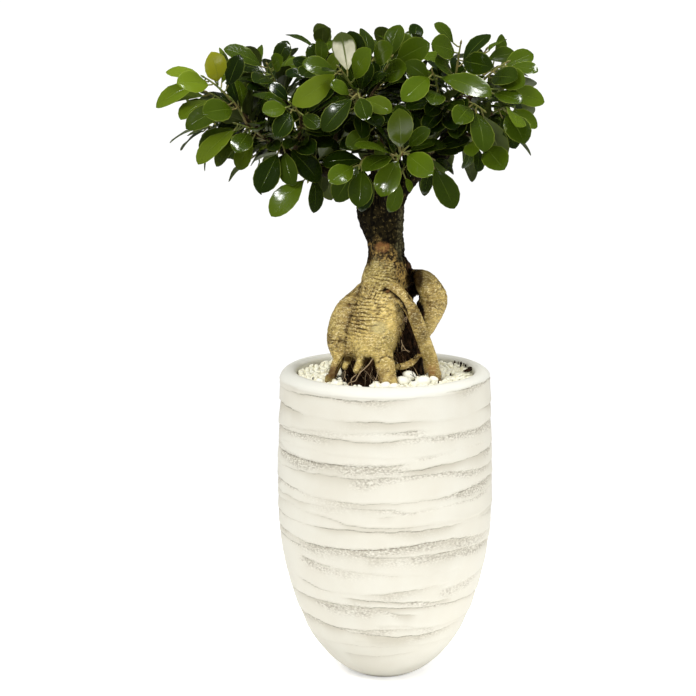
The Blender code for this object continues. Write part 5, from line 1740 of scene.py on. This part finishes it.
def stoneware_finish(mottle, grain):
    """Matt cream stoneware: clean bands, a lip painted lighter, painted beige shade and a painted
    shadow line under each ledge, soft pits in the grit.
    """
    made, shader, g = new_material("cream_stoneware")
    place = g.place()
    grit = g.attribute("grit")
    drift = placed(g, mottle, Vector=place, Broad=14.0, Fine=60.0, Share=0.3)
    speckle = g.noise(g.vector("MULTIPLY", place, (1, 1, 1.6)), 360.0, 2.0, 0.5)
    shade = g.math("MAXIMUM", g.steps(g.attribute("shade"), 0.08, 0.8),
                   g.steps(grit, 0.1, 0.9, 0, 0.65))
    line = g.times(g.steps(g.attribute("ledge_shadow_line"), 0.25, 0.95),
                   g.steps(g.noise(place, 45.0), 0.3, 0.55, 0.45, 1),
                   g.steps(speckle, 0.40, 0.56, 0.5, 0.95))
    pits = g.times(g.steps(speckle, 0.52, 0.64), g.steps(grit, 0.15, 0.7))
    crumbs = g.times(g.steps(speckle, 0.47, 0.38), grit, 0.7)
    # Layers: a lip painted lighter, partly as painted light; painted shade in the recesses, over the
    # grit's own tone; a painted shadow line under each ledge; the grit's pits and crumbs
    g.feed(shader.inputs["Base Color"], g.layered(
        g.mix(drift, (0.695, 0.664, 0.566), (0.725, 0.704, 0.615)),
        (g.height(place, LIP_CREAM_AND_LIGHT), (0.755, 0.745, 0.665)),
        (shade, (0.57, 0.535, 0.44)),
        (line, (0.19, 0.17, 0.125)),
        (g.times(pits, 0.5), (0.34, 0.30, 0.235)),
        (crumbs, (0.86, 0.84, 0.75))))
    g.feed(shader.inputs["Roughness"], g.steps(drift, 0, 1, 0.55, 0.7))
    shader.inputs["Specular IOR Level"].default_value = 0.3
    g.feed(shader.inputs["Normal"], placed(g, grain, Vector=place, Scale=420.0, Depth=0.18,
                                           Relief=g.times(pits, -0.4)))
    return made


def soil_finish(mottle, grain):
    """Dark soil under the root, with fine cream grit where the gravel lies."""
    made, colour, g, drift = cloudy_finish("potting_soil", mottle, grain, (90.0, 420.0, 0.6),
                                           (500.0, 1.2), 0.95, 0.15)
    soil = g.mix(drift, (0.004, 0.002, 0.0015), (0.030, 0.016, 0.008))
    cream = g.mix(drift, (0.86, 0.82, 0.64), (0.95, 0.92, 0.76))
    g.feed(colour, g.mix(g.attribute("gravelly"), soil, cream))
    return made


def pebble_finish(mottle, grain):
    """Cream to white gravel, each stone with its own tint."""
    made, colour, g, drift = cloudy_finish("cream_gravel", mottle, grain, (130.0, 500.0, 0.5),
                                           (700.0, 0.15), 0.55)
    tint = g.attribute("stone_tint")
    g.feed(colour, g.layered(
        g.mix(g.steps(tint, 0.0, 0.4), (0.94, 0.895, 0.685), (0.975, 0.955, 0.78)),
        (g.steps(tint, 0.7, 1.0), (0.965, 0.955, 0.84)),
        (g.times(drift, 0.08), (0.80, 0.75, 0.56))))
    return made


def tan_skin(g, place, crease_shade, pale, streak, mottle):
    """The root's tan skin: mottled, streaked and flecked, with pale spots and light flecks that are
    partly painted highlights, and painted shade in its creases.
    """
    drift = placed(g, mottle, Vector=place, Broad=24.0, Fine=170.0, Share=0.5)
    olive = g.noise(g.vector("ADD", place, (3, 7, 1)), 16.0, 2.0)
    fleck = g.noise(g.vector("MULTIPLY", place, (1, 1, 1.5)), 380.0, 2.0, 0.5)
    dots = g.add("ShaderNodeTexVoronoi", {"Vector": g.vector("MULTIPLY", place, (1, 1, 1.9)),
                                          "Scale": 270.0})
    spots = g.times(g.steps(dots.outputs["Distance"], 0.32, 0.16),
                    g.steps(g.noise(place, 90.0), 0.42, 0.53), 0.85)
    low_darkening = g.times(g.height(place, LOW_SKIN_DARKENING, 0, 0.7),
                    g.steps(g.noise(place, 60.0), 0.38, 0.62))
    return g.layered(
        g.mix(drift, (0.28, 0.180, 0.044), (0.86, 0.65, 0.205)),
        (g.steps(olive, 0.5, 0.68, 0, 0.45), (0.40, 0.33, 0.09)),
        (g.steps(streak, 0.50, 0.66, 0, 0.62), (0.15, 0.088, 0.024)),
        # Light flecks and pale spots: the skin's own lenticels, made brighter as painted highlights
        (g.steps(fleck, 0.53, 0.64, 0, 0.25), (0.19, 0.12, 0.034)),
        (g.steps(fleck, 0.45, 0.35, 0, 0.6), (0.95, 0.80, 0.42)),
        (spots, (0.97, 0.84, 0.44)),
        (g.steps(pale, 0.2, 0.9, 0, 0.55), (0.52, 0.45, 0.20)),
        # Painted shade in the creases, folds and ribs
        (g.steps(crease_shade, 0.12, 0.8, 0, 0.85), (0.070, 0.038, 0.012)),
        (g.steps(crease_shade, 0.7, 0.98, 0, 0.97), (0.012, 0.006, 0.003)),
        (low_darkening, (0.10, 0.05, 0.022)))


def bark_skins(g, place, crease_shade, pale, mottle):
    """The brown bark where the tan skin ends, and the dark bark above it."""
    knobs = g.noise(place, 320.0, 3.0, 0.6)
    brown = g.layered(
        g.mix(g.steps(knobs, 0.40, 0.62), (0.026, 0.015, 0.004), (0.42, 0.27, 0.07)),
        # Painted shade in the bark's cracks
        (g.steps(crease_shade, 0.1, 0.8, 0, 0.7), (0.03, 0.016, 0.005)))
    rough = placed(g, mottle, Vector=place, Broad=70.0, Fine=260.0, Share=0.5)
    lichen = g.times(g.steps(pale, 0.15, 0.8, 0, 0.6), g.steps(knobs, 0.40, 0.6, 0.25, 1))
    dark = g.layered(
        g.mix(rough, (0.002, 0.0015, 0.0005), (0.023, 0.017, 0.005)),
        (g.steps(knobs, 0.56, 0.67, 0, 0.7), (0.15, 0.112, 0.038)),
        (lichen, (0.13, 0.118, 0.055)),
        # Painted shade in the bark's cracks
        (g.steps(crease_shade, 0.1, 0.8, 0, 0.85), (0.003, 0.002, 0.001)))
    return brown, dark


def root_finish(mottle, grain):
    """Tan ginseng skin with fine cross wrinkles, which turns into dark rough bark higher up."""
    made, shader, g = new_material("ginseng_root")
    place = g.place()
    crease_shade, bark, mat, rust, pale, shaded = (g.attribute(name) for name in (
        "crease_shade", "bark", "mat", "rust", "pale", "shaded"))
    streak = g.noise(g.vector("MULTIPLY", place, (1, 1, 3.6)), 150.0, 4.0, 0.6)
    brown, dark = bark_skins(g, place, crease_shade, pale, mottle)
    rusty = g.math("SUBTRACT", rust, g.noise(place, 190.0, 3.0, 0.65))
    colour = g.layered(
        tan_skin(g, place, crease_shade, pale, streak, mottle),
        (g.steps(bark, 0.02, 0.3), brown),
        (g.steps(bark, 0.55, 0.9), dark),
        (g.steps(rusty, 0.12, 0.6, 0, 0.78), (0.29, 0.13, 0.042)))
    # The shaded patches are painted shade: the colour darkened, with its texture kept
    deep = g.vector("MULTIPLY", colour, (0.09, 0.07, 0.05))
    strands = g.noise(g.vector("MULTIPLY", place, (1, 1, 0.4)), 260.0)
    fibrous = g.mix(g.steps(strands, 0.42, 0.7), (0.006, 0.003, 0.0015),
                    (0.085, 0.042, 0.020))
    g.feed(shader.inputs["Base Color"],
           g.layered(colour, (g.steps(shaded, 0.05, 0.9), deep), (mat, fibrous)))
    g.feed(shader.inputs["Roughness"], g.steps(bark, 0, 1, 0.38, 0.8))
    covered = g.steps(crease_shade, 0.3, 0.9)
    for mark in (bark, mat, shaded):
        covered = g.math("MAXIMUM", covered, mark)
    g.feed(shader.inputs["Specular IOR Level"], g.steps(covered, 0, 1, 0.5, 0.1))
    relief = g.times(streak, g.steps(bark, 0, 1, 1.2, 0.3))
    g.feed(shader.inputs["Normal"], placed(g, grain, Vector=place, Scale=330.0,
                                           Depth=g.steps(covered, 0, 1, 0.45, 1.2), Relief=relief))
    return made


def twig_finish(mottle, grain):
    """Brown bark of the twigs."""
    made, colour, g, drift = cloudy_finish("twig_bark", mottle, grain, (40.0, 260.0, 0.5),
                                           (500.0, 0.8), 0.8, 0.15)
    g.feed(colour, g.mix(drift, (0.016, 0.010, 0.004), (0.12, 0.075, 0.032)))
    return made


def fibre_finish(mottle, grain):
    """Dark brown fine roots, with some light strands."""
    made, colour, g, drift = cloudy_finish("fine_root_skin", mottle, grain, (50.0, 300.0, 0.4),
                                           (900.0, 0.5), 0.85, 0.15)
    brown = g.mix(drift, (0.004, 0.002, 0.001), (0.055, 0.027, 0.011))
    light = g.steps(g.attribute("fibre_tint"), 0.4, 0.6, 0, 0.85)
    g.feed(colour, g.mix(light, brown, (0.50, 0.37, 0.22)))
    return made


def stem_finish(mottle, grain):
    """Green young shoots and stalks that turn brown in patches."""
    made, colour, g, drift = cloudy_finish("young_stem", mottle, grain, (70.0, 400.0, 0.4),
                                           (600.0, 0.25), 0.45)
    g.feed(colour, g.mix(drift, (0.10, 0.15, 0.018), (0.22, 0.17, 0.055)))
    return made


def leaf_underside(g, place, drift, share, aside, rib):
    """The paler back of a blade, with a painted glare on some leaves, though not at the tip and
    edges.
    """
    uneven = g.plus(share, g.times(g.noise(place, 90.0), 0.3))
    # A painted glare in a pale colour on the undersides that catch the light; it spares the tip and
    # edges
    painted_glare = g.times(g.attribute("leaf_glare"), g.steps(uneven, 0.95, 0.8))
    spare = g.times(g.steps(aside, 0.04, 0.1), g.steps(aside, 0.95, 0.85))
    pale = g.mix(drift, (0.50, 0.50, 0.30), (0.95, 0.90, 0.70))
    return g.layered(g.mix(rib, (0.078, 0.104, 0.014), (0.20, 0.23, 0.06)),
                     (g.times(painted_glare, spare), pale))


def leaf_finish(mottle, grain):
    """Glossy thick leaves: dark to bright green by age and painted light, darker in painted shade,
    with a pale midrib and a pale margin that is partly a painted highlight.
    """
    made, shader, g = new_material("glossy_leaf")
    place = g.place()
    tint, age, share, across, face = (g.attribute(name) for name in (
        "leaf_tint", "leaf_age", "blade_share", "blade_across", "blade_face"))
    drift = placed(g, mottle, Vector=place, Broad=24.0, Fine=120.0, Share=0.25)
    # age holds youth, and also painted light: lit leaves are painted lighter and yellower
    light = g.mix(g.steps(age, 0.5, 1.0), (0.145, 0.20, 0.010), (0.50, 0.42, 0.02))
    aside = g.math("ABSOLUTE", across)
    slant = g.plus(g.times(share, 9.0), g.times(aside, -2.2))
    veins = g.steps(g.math("ABSOLUTE", g.math("SUBTRACT", g.math("FRACT", slant), 0.5)), 0.09, 0.0)
    rib = g.times(g.steps(aside, 0.06, 0.012), g.steps(share, 1.0, 0.5))
    # The pale margin is partly the leaf's own edge and partly a painted highlight along the rim
    margin = g.times(g.steps(aside, 0.90, 1.0), 0.4)
    below = g.steps(face, -0.02, -0.1)
    # tint holds each leaf's own tone, darkened by painted shade inside the crown
    g.feed(shader.inputs["Base Color"], g.layered(
        g.mix(tint, (0.0045, 0.012, 0.0005), (0.063, 0.103, 0.0035)),
        (g.times(drift, tint, 0.35), (0.085, 0.125, 0.005)),
        (g.steps(age, 0.05, 0.75), light),
        (g.times(veins, tint, 0.05), (0.16, 0.25, 0.03)),
        (g.times(rib, 0.24), (0.17, 0.24, 0.03)),
        (margin, (0.26, 0.31, 0.045)),
        (g.times(below, 0.75), leaf_underside(g, place, drift, share, aside, rib))))
    gloss = g.steps(drift, 0, 1, 0.12, 0.18)
    g.feed(shader.inputs["Roughness"], g.plus(gloss, g.times(below, 0.3)))
    shader.inputs["Specular IOR Level"].default_value = 0.6
    relief = g.plus(g.times(veins, -0.03), g.times(rib, -0.3))
    g.feed(shader.inputs["Normal"], placed(g, grain, Vector=place, Scale=90.0, Depth=0.05,
                                           Relief=relief))
    return made


# Floor, light and camera


def floor_finish():
    """Pale floor with a faint glow to the camera, which fades out into the white room."""
    made, shader, g = new_material("pale_floor")
    place = g.place()
    drift = g.noise(place, 3.0)
    g.feed(shader.inputs["Base Color"], g.mix(drift, (0.93, 0.93, 0.93), (0.95, 0.95, 0.95)))
    shader.inputs["Roughness"].default_value = 0.9
    shader.inputs["Emission Strength"].default_value = 0.4
    seen = g.add("ShaderNodeLightPath").outputs["Is Camera Ray"]
    g.feed(shader.inputs["Emission Color"], seen)
    away = g.add("ShaderNodeVectorMath", {0: place}, operation="LENGTH").outputs["Value"]
    g.feed(shader.inputs["Alpha"], g.steps(away, FLOOR_FADE[0] * MM, FLOOR_FADE[1] * MM))
    return made


def build_floor():
    """A square of floor under the planter."""
    sides = ((-1, -1), (1, -1), (1, 1), (-1, 1))
    corners = [(x * FLOOR_REACH, y * FLOOR_REACH, 0) for x, y in sides]
    floor = new_object("floor", corners, [(0, 1, 2, 3)], floor_finish())


def aim(thing, place, target):
    """Puts a lamp or camera in its place and turns it to the target."""
    thing.location = place
    thing.rotation_euler = (target - place).to_track_quat("-Z", "Y").to_euler()


def add_light(name, place, size, power, glossy):
    """A square area light that either lights the surfaces or only shows as a glint on them."""
    light = bpy.data.lights.new(name, "AREA")
    light.size = size * MM
    light.energy = power
    thing = add_object(name, light)
    thing.visible_glossy = glossy
    thing.visible_diffuse = not glossy
    aim(thing, Vector(place) * MM, Vector(LAMP_TARGET) * MM)


def light_scene():
    """A large soft light from the upper left front, a fill from the right and a pale room."""
    for lamp in LAMPS:
        add_light(*lamp)
    world = bpy.data.worlds.new("studio")
    world.use_nodes = True
    g = Graph(world.node_tree)
    shown = world.node_tree.nodes["Background"]
    shown.inputs["Color"].default_value = (1, 1, 1, 1)
    rays = g.add("ShaderNodeLightPath")
    lit = g.steps(rays.outputs["Is Glossy Ray"], 0, 1, ROOM_LIGHT, ROOM_SHEEN)
    seen = g.add("ShaderNodeMix", {0: rays.outputs["Is Camera Ray"], 2: lit, 3: ROOM_SEEN})
    g.feed(shown.inputs["Strength"], seen.outputs[0])
    scene = bpy.context.scene
    scene.world = world
    scene.view_settings.view_transform = "Standard"
    scene.view_settings.look = "None"


def add_camera():
    """The camera that shows the plant as in the photo."""
    camera = bpy.data.cameras.new("camera")
    camera.lens = CAMERA_LENS
    camera.sensor_width = CAMERA_SENSOR
    camera.clip_end = CAMERA_REACH
    thing = add_object("camera", camera)
    aim(thing, CAMERA_PLACE, CAMERA_TARGET)
    bpy.context.scene.camera = thing


def main():
    """Builds every piece, then the floor, light and camera."""
    mottle, grain = mottle_group(), grain_group()
    plans, space = plan_canopy()
    fill_canopy(plans, space)
    build_planter(stoneware_finish(mottle, grain))
    build_soil(soil_finish(mottle, grain))
    build_pebbles(pebble_finish(mottle, grain))
    build_wood(plans, root_finish(mottle, grain), twig_finish(mottle, grain))
    fine_roots = fibre_finish(mottle, grain)
    build_fibres(fine_roots)
    build_chips(fine_roots)
    build_sprays(plans, leaf_finish(mottle, grain), stem_finish(mottle, grain))
    build_floor()
    light_scene()
    add_camera()


main()
